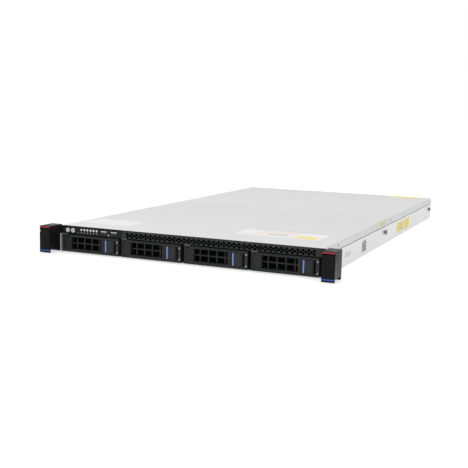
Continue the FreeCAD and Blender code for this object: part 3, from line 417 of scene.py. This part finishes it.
def turned(name, profile, centres, axis, finish, node, sides=24, edge_mm=0.08):
    """Turned pieces: profile is (radius, distance along the axis) from each centre."""
    work = bmesh.new()
    turn = Vector((0, 0, 1)).rotation_difference(Vector(axis)).to_matrix().to_4x4()
    for centre in centres:
        place = Matrix.Translation(Vector(centre)) @ turn
        rings = [[work.verts.new(place @ Vector((radius * math.cos(t), radius * math.sin(t),
                                                 along)))
                  for t in (2 * math.pi * k / sides for k in range(sides))]
                 for radius, along in profile]
        for first, second in zip(rings, rings[1:]):
            for k in range(sides):
                work.faces.new((first[k], first[(k + 1) % sides],
                                second[(k + 1) % sides], second[k]))
        work.faces.new(rings[0][::-1])
        work.faces.new(rings[-1])
    piece = new_piece(name, work, FINISH[finish])
    soften(piece, edge_mm)
    settle(piece, node)


def rounded(a0, a1, b0, b1, radius):
    """The outline of a rectangle with rounded corners."""
    corners = ((a1 - radius, b1 - radius, 0), (a0 + radius, b1 - radius, 90),
               (a0 + radius, b0 + radius, 180), (a1 - radius, b0 + radius, 270))
    return [(a + radius * math.cos(math.radians(start + turn)),
             b + radius * math.sin(math.radians(start + turn)))
            for a, b, start in corners for turn in (0, 30, 60, 90)]


def arc(centre, radius, width, start, sweep):
    """The outline of a curved stroke, with its angles in degrees."""
    steps = 16
    turns = [math.radians(start + sweep * k / steps) for k in range(steps + 1)]
    outer = [(radius + width / 2, t) for t in turns]
    inner = [(radius - width / 2, t) for t in reversed(turns)]
    return [(centre[0] + r * math.cos(t), centre[1] + r * math.sin(t)) for r, t in outer + inner]


# How (across, along, out) lies in (x, y, z) on a top, front or side face.
FACES = {"top": (0, 1, 2), "front": (0, 2, 1), "side": (1, 2, 0)}


def flat(name, outlines, face, level, thick, finish, node):
    """Thin flat shapes parallel to one face, from level to level + thick, such as labels."""
    work = bmesh.new()
    for outline in outlines:
        layers = []
        for out in (level, level + thick):
            layer = []
            for point in outline:
                place = [0.0, 0.0, 0.0]
                for axis, value in zip(FACES[face], (*point, out)):
                    place[axis] = value
                layer.append(work.verts.new(place))
            layers.append(layer)
        lower, upper = layers
        work.faces.new(lower)
        work.faces.new(upper[::-1])
        for k in range(len(lower)):
            after = (k + 1) % len(lower)
            work.faces.new((lower[k], lower[after], upper[after], upper[k]))
    settle(new_piece(name, work, FINISH[finish]), node)


# ---- settings ----
class ServerColours(bpy.types.PropertyGroup):
    """Colours as sRGB hex codes"""
    steel: StringProperty(
        name="Steel", description="Lighter tone of the zinc-coated sheet", default="#f0f0f1")
    steel_shade: StringProperty(
        name="Steel, shade", description="Darker tone of the zinc-coated sheet",
        default="#e9e9ea")
    wall: StringProperty(
        name="Wall steel", description="Lighter tone of the chassis walls", default="#f1f1f2")
    bezel: StringProperty(
        name="Bezel", description="Black of the grille and control panel", default="#101112")
    ear: StringProperty(
        name="Ears", description="Black of the rack ears", default="#1a1a1a")
    tray: StringProperty(
        name="Trays", description="Charcoal of the drive trays", default="#212223")
    latch: StringProperty(
        name="Latches", description="Dark grey of the tray latches", default="#232425")
    touch_blue: StringProperty(
        name="Touch blue", description="Blue of the tray latches' bars", default="#869fe4")
    ear_blue: StringProperty(
        name="Ear blue", description="Blue stripe at the foot of each ear", default="#2a5cae")
    stripe_red: StringProperty(
        name="Stripe red", description="Red stripe over each ear", default="#bf2a34")
    lamp: StringProperty(
        name="Status lights", description="Tint of the control panel's lights",
        default="#f2f4f5")
    pipe: StringProperty(
        name="Tray lights", description="Tint of the trays' light pipes", default="#8e9092")
    label_yellow: StringProperty(
        name="Yellow label", description="Yellow of the side and lid labels", default="#fff07c")
    label_orange: StringProperty(
        name="Orange label", description="Pale orange of the lid flange label",
        default="#f8deaa")


class ServerSizes(bpy.types.PropertyGroup):
    """Edges, stripes, films and the camera"""
    sheet_edge: FloatProperty(
        name="Sheet edge", description="Rounding of folded sheet edges", default=0.25 * MM,
        unit="LENGTH", precision=5)
    moulded_edge: FloatProperty(
        name="Moulded edge", description="Rounding of moulded edges", default=0.4 * MM,
        unit="LENGTH", precision=5)
    web_edge: FloatProperty(
        name="Grille edge", description="Rounding of the grille's webs", default=0.25 * MM,
        unit="LENGTH", precision=5)
    red_height: FloatProperty(
        name="Red stripe", description="Height of the red stripe", default=1.7 * MM,
        unit="LENGTH", precision=5)
    blue_height: FloatProperty(
        name="Blue stripe", description="Height of the blue stripe", default=2.0 * MM,
        unit="LENGTH", precision=5)
    film: FloatProperty(
        name="Label film", description="Thickness of the labels", default=0.08 * MM,
        unit="LENGTH", precision=5)
    camera_azimuth: FloatProperty(
        name="Camera azimuth", description="Turn of the camera round the server",
        default=math.radians(23.469), subtype="ANGLE")
    camera_elevation: FloatProperty(
        name="Camera elevation", description="Height of the camera above level",
        default=math.radians(8.524), subtype="ANGLE")
    camera_roll: FloatProperty(
        name="Camera roll", description="Roll of the camera about its line of sight",
        default=math.radians(1.305), subtype="ANGLE")
    camera_distance: FloatProperty(
        name="Camera distance", description="From the camera to its target", default=1.5337,
        unit="LENGTH")
    camera_target: FloatVectorProperty(
        name="Camera target", description="Point at the middle of the view",
        default=(-0.04857, 0.290, 0.00348), subtype="XYZ", unit="LENGTH")
    camera_lens: FloatProperty(
        name="Camera lens", description="Focal length on a 36 mm sensor", default=64.243,
        unit="CAMERA")


# ---- operators ----
class SERVER_OT_finishes(bpy.types.Operator):
    """Make the materials and give every CAD node its finish"""
    bl_idname = "server.finishes"
    bl_label = "Finishes"

    def execute(self, context):
        FINISH.update(build_finishes(context.scene.server_colours))
        for node, item in frame["nodes"].items():
            item.data.materials.clear()
            item.data.materials.append(finish_of(node))
        return {"FINISHED"}


class SERVER_OT_covers(bpy.types.Operator):
    """Covers with folded edges, painted shade on their flanges, painted shadow where the flanges end,
    dimples in painted shade, and painted shade in the vents
    """
    bl_idname = "server.covers"
    bl_label = "Covers"

    def execute(self, context):
        edge = context.scene.server_sizes.sheet_edge / MM
        # The covers' sideways faces, their flanges, take the darker tone of painted shade.
        for node in ("front_cover", "rear_cover"):
            dress(node, edge, painted_side_shade="flange")
        dress("slot_covers", edge)
        low, high = box_mm("front_cover")
        # Each flange's side, the x of its outer face, and which way is out.
        self.flanges = (("left", low[0], -1), ("right", high[0], 1))
        self.seam_shadows(low[2], box_mm("rear_cover")[1][1])
        self.screens()
        self.dimples((low[2] + high[2]) / 2)
        return {"FINISHED"}

    def seam_shadows(self, flange_foot, length):
        """A black strip along each wall where the flange ends: painted shadow in the seam."""
        set_back, width, height = 0.05, 1.15, 0.7
        for side, face, out in self.flanges:
            x0, x1 = sorted((face - out * set_back, face - out * (set_back + width)))
            plates("lid_seam_shadow_" + side,
                   [(x0, x1, 0.0, length, flange_foot - height, flange_foot)],
                   "painted_shade", "chassis_base", edge_mm=0)

    def screens(self):
        """Dark hexagonal plates just inside the mouth of every vent in the side walls: painted shade
        in the holes.
        """
        wall = box_mm("chassis_base")[1][0]
        first_y, first_z = box_mm("fan_frames")[0][1] - 6.4, 8.5
        across_flats, pitch, columns, rows = 4.7, 5.9, 5, 3
        depth, thick = 0.25, 0.3
        corner = across_flats / math.sqrt(3)
        outlines = []
        for column in range(columns):
            for row in range(rows):
                y = first_y + column * pitch * math.sqrt(3) / 2
                z = first_z + (row + 0.5 * (column % 2)) * pitch
                outlines.append([(y + corner * math.cos(math.radians(60 * k)),
                                  z + corner * math.sin(math.radians(60 * k)))
                                 for k in range(6)])
        for side, level in (("left", depth - wall), ("right", wall - depth - thick)):
            flat("vent_shade_" + side, outlines, "side", level, thick, "painted_shade", "chassis_base")

    def dimples(self, height):
        """Pressed dimples along both flanges, which hold the covers' hooks, in a grey that is painted
        shade.
        """
        dome, sunk = [(2.1, 0.0), (1.7, 0.12), (0.9, 0.2)], 0.02
        for cover, places in (("front_cover", (62.0, 392.0)), ("rear_cover", (515.0, 765.0))):
            for side, face, out in self.flanges:
                turned(cover + "_dimples_" + side, dome,
                       [(face - out * sunk, y, height) for y in places], (out, 0, 0), "tab",
                       cover, sides=16)


class SERVER_OT_cage(bpy.types.Operator):
    """Drive cage in a black that is painted shade, with a tab over each bay in a grey that is painted
    shade
    """
    bl_idname = "server.cage"
    bl_label = "Drive cage"

    def execute(self, context):
        dress("drive_cage", context.scene.server_sizes.sheet_edge / MM)
        low, high = box_mm("drive_cage")
        front, top = low[1], high[2]
        start, width, run, drop, skin = 1.9, 9.2, 4.0, 1.1, 0.06
        for number in TRAYS:
            left = box_mm("tray_" + number)[0][0] + start
            # Each tab's grey is painted shade on its steel.
            plates("bay_tab_" + number,
                   [(left, left + width, front - 2 * skin, front + run, top - drop, top + skin)],
                   "tab", "drive_cage", edge_mm=0.15)
        return {"FINISHED"}


class SERVER_OT_bezel(bpy.types.Operator):
    """Hexagonal grille with soft edges on every web"""
    bl_idname = "server.bezel"
    bl_label = "Grille bezel"

    def execute(self, context):
        dress("grille_bezel", context.scene.server_sizes.web_edge / MM, segments=1)
        return {"FINISHED"}


class SERVER_OT_control_panel(bpy.types.Operator):
    """Control panel with its printed marks, button signs and port tongues"""
    bl_idname = "server.control_panel"
    bl_label = "Control panel"

    def execute(self, context):
        dress("control_panel", context.scene.server_sizes.moulded_edge / MM * FINE)
        self.face = box_mm("control_panel")[0][1]
        self.lamp_marks()
        self.port_mark()
        self.button_signs()
        self.ports()
        return {"FINISHED"}

    def mark(self, name, outlines, ink):
        """Marks printed on the panel's face."""
        flat(name, outlines, "front", self.face - INK, INK, ink, "control_panel")

    def lamp_marks(self):
        """A tick under each light, the first ones dim, and a black disc painted as the shade of a
        pinhole, with its own tick.
        """
        lamp_w, lamps, dim = 2.7, 6, 2
        tick_w, tick_h, tick_drop = 1.6, 1.4, 3.6
        hole_gap, hole_lift, hole_radius = 6.7, 1.4, 0.8
        dash_left, dash_w, dash_h = 0.5, 1.8, 0.8
        low, high = box_mm("status_lights")
        first, foot = low[0] + lamp_w / 2, low[2] - tick_drop
        pitch = (high[0] - low[0] - lamp_w) / (lamps - 1)
        ticks = [rounded(x - tick_w / 2, x + tick_w / 2, foot, foot + tick_h, 0.3)
                 for x in (first + k * pitch for k in range(lamps))]
        self.mark("lamp_ticks_dim", ticks[:dim], "ink_grey")
        self.mark("lamp_ticks", ticks[dim:], "ink_pale")
        hole = first - hole_gap
        turned("panel_pinhole_shade", [(hole_radius, 0.0), (hole_radius, INK)],
               [(hole, self.face - INK, low[2] + hole_lift)], (0, 1, 0), "painted_shade",
               "control_panel", sides=16)
        dash = hole - dash_left
        self.mark("pinhole_tick", [rounded(dash, dash + dash_w, foot, foot + dash_h, 0.2)],
                  "ink_grey")

    def port_mark(self):
        """A triangle between the ports."""
        half_w, height, drop = 2.0, 2.6, 2.1
        low, high = box_mm("front_ports")
        middle, foot = (low[0] + high[0]) / 2, low[2] - drop
        self.mark("port_triangle", [[(middle - half_w, foot), (middle + half_w, foot),
                                     (middle, foot + height)]], "ink_pale")

    def button_signs(self):
        """A ring with a bar for power, and a ring with a dot for the locator."""
        ring, stroke, gap, dot, dot_stroke, bar_lift, bar_corner = 1.7, 0.5, 80, 0.3, 0.58, 0.2, 0.1
        for button in ("power_button", "id_button"):
            low, high = box_mm(button)
            x, z = (low[0] + high[0]) / 2, (low[2] + high[2]) / 2
            if button == "power_button":
                bar = rounded(x - stroke / 2, x + stroke / 2, z + bar_lift, z + ring + stroke,
                              bar_corner)
                shapes = [arc((x, z), ring, stroke, 90 + gap / 2, 360 - gap), bar]
            else:
                shapes = [arc((x, z), radius, width, start, 180)
                          for radius, width in ((ring, stroke), (dot, dot_stroke))
                          for start in (0, 180)]
            flat(button + "_sign", shapes, "front", low[1] - INK, INK, "ink_dark", button)

    def ports(self):
        """A white contact tongue, a black plate painted as the shade inside, and a pair of springs in
        each port.
        """
        low, high = box_mm("front_ports")
        port_w, back = 12.6, high[1]
        centres = [low[0] + port_w / 2, high[0] - port_w / 2]
        half_w, start, foot, head = 5.2, self.face + 0.5, 0.3, 1.9
        middle = (low[2] + high[2]) / 2
        plates("port_tongues", [(x - half_w, x + half_w, start, back - 1.0, middle + foot,
                                 middle + head) for x in centres],
               "tongue", "front_ports", edge_mm=0.15)
        half_w, start, end, shell = 5.7, back - 1.2, back - 0.2, 0.5
        plates("port_inside_shades", [(x - half_w, x + half_w, start, end, low[2] + shell,
                                 high[2] - shell) for x in centres],
               "painted_shade", "front_ports")
        half_w, start, run, foot, head, apart = 1.1, self.face + 0.2, 5.8, 0.42, 0.9, 2.9
        plates("port_springs", [(x - half_w, x + half_w, start, start + run, low[2] + foot,
                                 low[2] + head)
                                for centre in centres for x in (centre - apart, centre + apart)],
               "port", "front_ports")


class SERVER_OT_ears(bpy.types.Operator):
    """Ears and levers with moulded edges and their two stripes"""
    bl_idname = "server.ears"
    bl_label = "Ears"

    def execute(self, context):
        sizes = context.scene.server_sizes
        for side in ("left", "right"):
            dress(side + "_ear", sizes.moulded_edge / MM)
            dress(side + "_ear_lever", sizes.moulded_edge / MM)
            self.stripes(side, sizes.red_height / MM, sizes.blue_height / MM)
        return {"FINISHED"}

    def stripes(self, side, red_height, blue_height):
        """A red stripe at the top of the ear, and a blue one at the foot of its lever."""
        proud, sunk, inset, red_drop, blue_lift = 0.12, 0.1, 0.35, 0.7, 2.4
        low, high = box_mm(side + "_ear_lever")
        x0, x1, face = low[0] + inset, high[0] - inset, low[1] - proud
        head, foot = box_mm(side + "_ear")[1][2] - red_drop, low[2] + blue_lift
        red_corner, blue_corner = red_height * 0.45, 0.3
        flat(side + "_red_stripe", [rounded(x0, x1, head - red_height, head, red_corner)],
             "front", face, proud + sunk, "red", side + "_ear")
        flat(side + "_blue_stripe", [rounded(x0, x1, foot, foot + blue_height, blue_corner)],
             "front", face, proud + sunk, "ear_blue", side + "_ear_lever")


class SERVER_OT_trays(bpy.types.Operator):
    """Tray ends, handles, latches, touch bars and light columns"""
    bl_idname = "server.trays"
    bl_label = "Drive trays"

    def execute(self, context):
        edge = context.scene.server_sizes.moulded_edge / MM
        for number in TRAYS:
            dress("tray_" + number, edge * FINE)
            dress("tray_handle_" + number, edge)
            dress("tray_latch_" + number, edge * FINE)
            self.touch_bar(number)
            self.handle_panel(number)
            self.latch_groove_shade(number)
            self.light_column(number)
        return {"FINISHED"}

    def touch_bar(self, number):
        """The blue cap on the latch's rib."""
        proud, sunk, gap, width, inset = 0.12, 0.3, 0.05, 2.15, 0.25
        latch = "tray_latch_" + number
        low, high = box_mm(latch)
        left, face = low[0] + gap, low[1]
        plates("touch_bar_" + number,
               [(left, left + width, face - proud, face + sunk, low[2] + inset,
                 high[2] - inset)],
               "blue", latch, edge_mm=0.12)

    def handle_panel(self, number):
        """A textured plate on the floor of the handle's recess."""
        recess, start, width, foot, head = 0.8, 4.3, 11.9, 4.8, 3.8
        handle = "tray_handle_" + number
        low, high = box_mm(handle)
        left = low[0] + start
        flat("handle_panel_" + number,
             [rounded(left, left + width, low[2] + foot, high[2] - head, 0.4)],
             "front", low[1] + recess - INK, INK, "inlay", handle)

    def latch_groove_shade(self, number):
        """A dark strip down the free end of the latch's pad, painted as the shade of its groove."""
        pad_depth, gap, width, inset = 0.4, 0.1, 2.4, 0.2
        latch = "tray_latch_" + number
        low, high = box_mm(latch)
        right = high[0] - gap
        flat("latch_groove_shade_" + number,
             [rounded(right - width, right, low[2] + inset, high[2] - inset, 0.3)],
             "front", low[1] + pad_depth - INK, INK, "painted_shade", latch)

    def light_column(self, number):
        """A grey strip between the two light pipes, with two black discs painted as the shade of two
        small holes.
        """
        width, lamp_h, hole_radius, hole_lifts = 3.8, 2.9, 1.0, (7, 12)
        tray = "tray_" + number
        low, high = box_mm("tray_lights_" + number)
        x, face = (low[0] + high[0]) / 2, box_mm(tray)[0][1] - INK
        flat("light_column_" + number,
             [rounded(x - width / 2, x + width / 2, low[2] + lamp_h, high[2] - lamp_h, 0.5)],
             "front", face, INK, "column", tray)
        turned("column_hole_shades_" + number, [(hole_radius, 0.0), (hole_radius, INK)],
               [(x, face - INK, low[2] + lift) for lift in hole_lifts], (0, 1, 0), "painted_shade", tray,
               sides=12)


# Blank labels, plain printed bars and a grey bar of painted shadow, on the lid from above and on the
# right wall from the side: name, node, finish, whether they lie on a label, and each outline as its
# two ends in x (lid) or y (wall), its two ends in y or z, and the radius of its corners.
LID_LABELS = (
    ("lid_label_right", "front_cover", "white", False, [(52, 189, 55, 118, 2)]),
    ("lid_label_left", "front_cover", "white", False, [(-205, -119, 32, 88, 2)]),
    ("lid_label_orange_bars", "front_cover", "ink_orange", True,
     [(82, 145, 93, 110, 0.5), (80, 97, 68, 86, 0.5)]),
    # A grey bar along the right label's rear edge is painted shadow.
    ("lid_label_rear_shadow", "front_cover", "ink_grey", True, [(60, 184, 115.5, 117.5, 0.4)]),
    ("lid_label_grey_bars", "front_cover", "ink_grey", True,
     [(100, 135, 72, 75, 0.4), (100, 130, 78, 81, 0.4)]),
    ("lid_label_yellow_patch", "front_cover", "yellow", True, [(150, 182, 60, 80, 0.5)]),
    ("rear_cover_label", "rear_cover", "yellow", False, [(128, 190, 752, 778, 1.5)]),
)
WALL_LABELS = (
    ("flange_label", "front_cover", "orange", False, [(321, 346, 32.6, 42.4, 0.8)]),
    ("wall_labels", "chassis_base", "yellow", False,
     [(444, 492, 8, 25.5, 1), (505, 553, 7, 26, 1)]),
    ("wall_mark", "chassis_base", "ink_pale", False,
     [(96, 130, foot, foot + 0.8, 0.2) for foot in (13.5, 15.5, 17.5, 19.5)]),
    ("wall_label_bar", "chassis_base", "ink_dark", True, [(488, 491, 9, 24.5, 0.3)]),
)


class SERVER_OT_labels(bpy.types.Operator):
    """Blank labels on the covers and the right wall"""
    bl_idname = "server.labels"
    bl_label = "Labels"

    def execute(self, context):
        film = context.scene.server_sizes.film / MM
        high = box_mm("front_cover")[1]
        self.stick(LID_LABELS, "top", high[2], film)
        self.stick(WALL_LABELS, "side", high[0], film)
        return {"FINISHED"}

    def stick(self, labels, face, level, film):
        """Labels lie on the steel, and bars on a label start a little under its face."""
        bar_level = level + film * 0.6
        for name, node, finish, on_label, outlines in labels:
            flat(name, [rounded(*outline) for outline in outlines], face,
                 bar_level if on_label else level, film, finish, node)


class SERVER_OT_drives(bpy.types.Operator):
    """Bright stamped cover over each black drive"""
    bl_idname = "server.drives"
    bl_label = "Drives"

    def execute(self, context):
        inset, nose, tail, corner, lift = 3.6, 3.6, 13.0, 3.0, 0.06
        for number in TRAYS:
            drive = "drive_" + number
            low, high = box_mm(drive)
            flat("drive_cover_" + number,
                 [rounded(low[0] + inset, high[0] - inset, low[1] + nose, high[1] - tail,
                          corner)],
                 "top", high[2] - lift, 2 * lift, "steel", drive)
        return {"FINISHED"}


# Rear sockets: offset from the first one, width, height, wall and depth.
SOCKETS = ((0.0, 31.0, 12.0, 5.0, 6.5), (36.0, 14.5, 7.0, 0.9, 13.0), (53.5, 14.5, 7.0, 0.9, 13.0),
           (73.0, 16.0, 13.5, 2.0, 15.0), (92.0, 16.0, 13.5, 2.0, 15.0),
           (114.0, 16.0, 13.5, 2.0, 15.0))


class SERVER_OT_rear(bpy.types.Operator):
    """Black liners in the inlets and sockets, painted shade in the fan outlets, and gold contacts"""
    bl_idname = "server.rear"
    bl_label = "Rear"

    def execute(self, context):
        inlet_x, inlet_z, inlet_w, inlet_h, inlet_depth, lip = 44.0, 4.5, 24.0, 16.0, 15.0, 0.4
        rear = box_mm("chassis_base")[1][1]
        for number in SUPPLIES:
            supply = "supply_" + number
            low, high = box_mm(supply)
            left, foot = low[0] + inlet_x, low[2] + inlet_z
            self.liner("inlet_liner_" + number, left, left + inlet_w, foot, foot + inlet_h,
                       rear, inlet_depth, supply)
            self.outlet(number, low, high, rear)
        low, high = box_mm("rear_ports")
        for k, (offset, width, height, wall, depth) in enumerate(SOCKETS):
            margin = wall / 2 + lip
            x0, x1 = low[0] + offset + wall, low[0] + offset + width - wall
            z0, z1 = low[2] + margin, low[2] + height - margin
            self.liner("socket_liner_%d" % (k + 1), x0, x1, z0, z1, high[1], depth,
                       "rear_ports")
            self.contacts("socket_contacts_%d" % (k + 1), x0, x1, z1, high[1], depth)
        return {"FINISHED"}

    def liner(self, name, x0, x1, z0, z1, mouth, depth, node):
        """A moulded liner: four walls and a floor inside an opening."""
        wall, gap, set_back = 0.7, 0.05, 0.3
        floor, front = mouth - depth, mouth - depth + wall
        end = mouth - set_back
        plates(name, [
            (x0 + gap, x1 - gap, floor + gap, front, z0 + gap, z1 - gap),
            (x0 + gap, x0 + wall, front, end, z0 + gap, z1 - gap),
            (x1 - wall, x1 - gap, front, end, z0 + gap, z1 - gap),
            (x0 + wall, x1 - wall, front, end, z0 + gap, z0 + wall),
            (x0 + wall, x1 - wall, front, end, z1 - wall, z1 - gap)],
            "fan", node)

    def contacts(self, name, x0, x1, z1, mouth, depth):
        """A row of gold strips along a socket's upper wall."""
        count, strip, inset, root, reach, drop, thick = 8, 0.45, 2.0, 0.9, 0.6, 1.6, 0.4
        pitch = (x1 - x0 - 2 * inset) / (count - 1)
        floor, foot = mouth - depth, z1 - drop
        plates(name, [(x - strip / 2, x + strip / 2, floor + root, floor + depth * reach,
                       foot, foot + thick)
                      for x in (x0 + inset + k * pitch for k in range(count))],
               "gold", "rear_ports", edge_mm=0)

    def outlet(self, number, low, high, rear):
        """Black plates in the slots of the supply's fan outlet, painted as the shade in them."""
        inset, width, depth, bar, count, gap = 4.0, 34.0, 3.0, 1.6, 6, 0.05
        floor, floor_gap, thick = rear - depth, 0.02, 0.38
        left, foot = low[0] + inset, low[2] + inset
        step = (high[2] - low[2] - 2 * inset + bar) / count
        plates("outlet_floor_shades_" + number,
               [(left + gap, left + width - gap, floor + floor_gap, floor + floor_gap + thick,
                 foot + n * step + gap, foot + (n + 1) * step - bar - gap)
                for n in range(count)],
               "painted_shade", "supply_" + number, edge_mm=0)


class SERVER_OT_stage(bpy.types.Operator):
    """Floor, world, lamps and camera"""
    bl_idname = "server.stage"
    bl_label = "Stage"

    def execute(self, context):
        self.floor()
        self.world(context.scene)
        # Places, aims and sizes of the lamps are in metres, and their power in watts.
        self.lamp("key", place=(0.5, -1.0, 2.5), aim=(0.0, 0.35, 0.0), size=3.6, power=17.0)
        self.lamp("fill", place=(-1.4, 0.2, 2.4), aim=(0.0, 0.4, 0.0), size=3.2, power=9.0)
        self.camera(context.scene)
        context.scene.view_settings.view_transform = "Standard"
        return {"FINISHED"}

    def floor(self):
        """A sheet of paper just under the server, too wide for its edge to show."""
        reach, drop = 40.0 / MM, 0.2
        work = bmesh.new()
        bmesh.ops.create_grid(work, x_segments=1, y_segments=1, size=reach)
        bmesh.ops.translate(work, verts=work.verts, vec=(0, 0, -drop))
        new_piece("floor", work, self.paper())

    def paper(self):
        """Seamless paper sweep: matt, and white to the eye apart from the object's shadow."""
        material, tree = new_material("Paper sweep, white")
        sheet = add_node(tree, "ShaderNodeBsdfDiffuse", {"Color": linear("#d2d2d2")})
        shaded = add_node(tree, "ShaderNodeBsdfDiffuse", {"Color": linear("#c4c4c4")})
        glow = add_node(tree, "ShaderNodeEmission", {"Color": linear("#ffffff"),
                                                     "Strength": 0.62})
        lifted = add_node(tree, "ShaderNodeAddShader", {0: shaded.outputs["BSDF"],
                                                        1: glow.outputs["Emission"]})
        path = add_node(tree, "ShaderNodeLightPath")
        seen = add_node(tree, "ShaderNodeMath", {0: path.outputs["Is Camera Ray"],
                                                 1: path.outputs["Is Glossy Ray"]},
                        operation="MAXIMUM")
        any_seen = add_node(tree, "ShaderNodeMath", {0: seen.outputs[0],
                                                     1: path.outputs["Is Transmission Ray"]},
                            operation="MAXIMUM")
        mixed = add_node(tree, "ShaderNodeMixShader", {0: any_seen.outputs[0],
                                                       1: sheet.outputs["BSDF"],
                                                       2: lifted.outputs["Shader"]})
        add_node(tree, "ShaderNodeOutputMaterial", {"Surface": mixed.outputs["Shader"]})
        return material

    def world(self, scene):
        """White all round: full white where it is seen, and a little less as light."""
        world = bpy.data.worlds.new("Studio")
        world.use_nodes = True
        tree = world.node_tree
        tree.nodes.clear()
        path = add_node(tree, "ShaderNodeLightPath")
        seen = add_node(tree, "ShaderNodeMath", {0: path.outputs["Is Camera Ray"],
                                                 1: path.outputs["Is Transmission Ray"]},
                        operation="MAXIMUM")
        strength = add_node(tree, "ShaderNodeMapRange", {"Value": seen.outputs[0],
                                                         "To Min": 0.75, "To Max": 1.0})
        sky = add_node(tree, "ShaderNodeBackground", {"Color": linear("#ffffff"),
                                                      "Strength": strength.outputs["Result"]})
        add_node(tree, "ShaderNodeOutputWorld", {"Surface": sky.outputs["Background"]})
        scene.world = world

    def lamp(self, name, place, aim, size, power):
        """A round soft box."""
        data = bpy.data.lights.new(name, "AREA")
        data.shape = "DISK"
        data.size = size
        data.energy = power
        lamp = bpy.data.objects.new(name, data)
        lamp.location = place
        lamp.rotation_euler = (Vector(aim) - Vector(place)).to_track_quat("-Z", "Y").to_euler()
        bpy.context.scene.collection.objects.link(lamp)

    def camera(self, scene):
        """The camera, turned round its target and rolled."""
        sizes = scene.server_sizes
        az, el, roll = sizes.camera_azimuth, sizes.camera_elevation, sizes.camera_roll
        back = Vector((math.sin(az) * math.cos(el), -math.cos(az) * math.cos(el), math.sin(el)))
        right = Vector((math.cos(az), math.sin(az), 0))
        up = back.cross(right)
        tilted = right * math.cos(roll) + up * math.sin(roll)
        upright = up * math.cos(roll) - right * math.sin(roll)
        data = bpy.data.cameras.new("camera")
        data.lens = sizes.camera_lens
        data.sensor_width = 36.0
        data.clip_end = 200.0    # metres, past the far edge of the floor
        camera = bpy.data.objects.new("camera", data)
        turn = Matrix((tilted, upright, back)).transposed().to_4x4()
        place = Vector(sizes.camera_target) + back * sizes.camera_distance
        camera.matrix_world = Matrix.Translation(place) @ turn
        scene.collection.objects.link(camera)
        scene.camera = camera


class SERVER_PT_panel(bpy.types.Panel):
    """Lists the steps that dress the server"""
    bl_label = "Rack server"
    bl_idname = "SERVER_PT_panel"
    bl_space_type = "VIEW_3D"
    bl_region_type = "UI"
    bl_category = "Server"

    def draw(self, context):
        layout = self.layout
        for step in STEPS:
            layout.operator(step.bl_idname)
        for group in (context.scene.server_sizes, context.scene.server_colours):
            for name in group.__annotations__:
                layout.prop(group, name)


STEPS = (SERVER_OT_finishes, SERVER_OT_covers, SERVER_OT_cage, SERVER_OT_bezel,
         SERVER_OT_control_panel, SERVER_OT_ears, SERVER_OT_trays, SERVER_OT_labels,
         SERVER_OT_drives, SERVER_OT_rear, SERVER_OT_stage)
CLASSES = (ServerColours, ServerSizes) + STEPS + (SERVER_PT_panel,)


def register():
    for item in CLASSES:
        bpy.utils.register_class(item)
    bpy.types.Scene.server_colours = PointerProperty(type=ServerColours)
    bpy.types.Scene.server_sizes = PointerProperty(type=ServerSizes)


def unregister():
    del bpy.types.Scene.server_sizes
    del bpy.types.Scene.server_colours
    for item in reversed(CLASSES):
        bpy.utils.unregister_class(item)


def main():
    """Dresses the server step by step."""
    register()
    for step in STEPS:
        group, name = step.bl_idname.split(".")
        getattr(getattr(bpy.ops, group), name)()


if __name__ == "__main__":
    main()
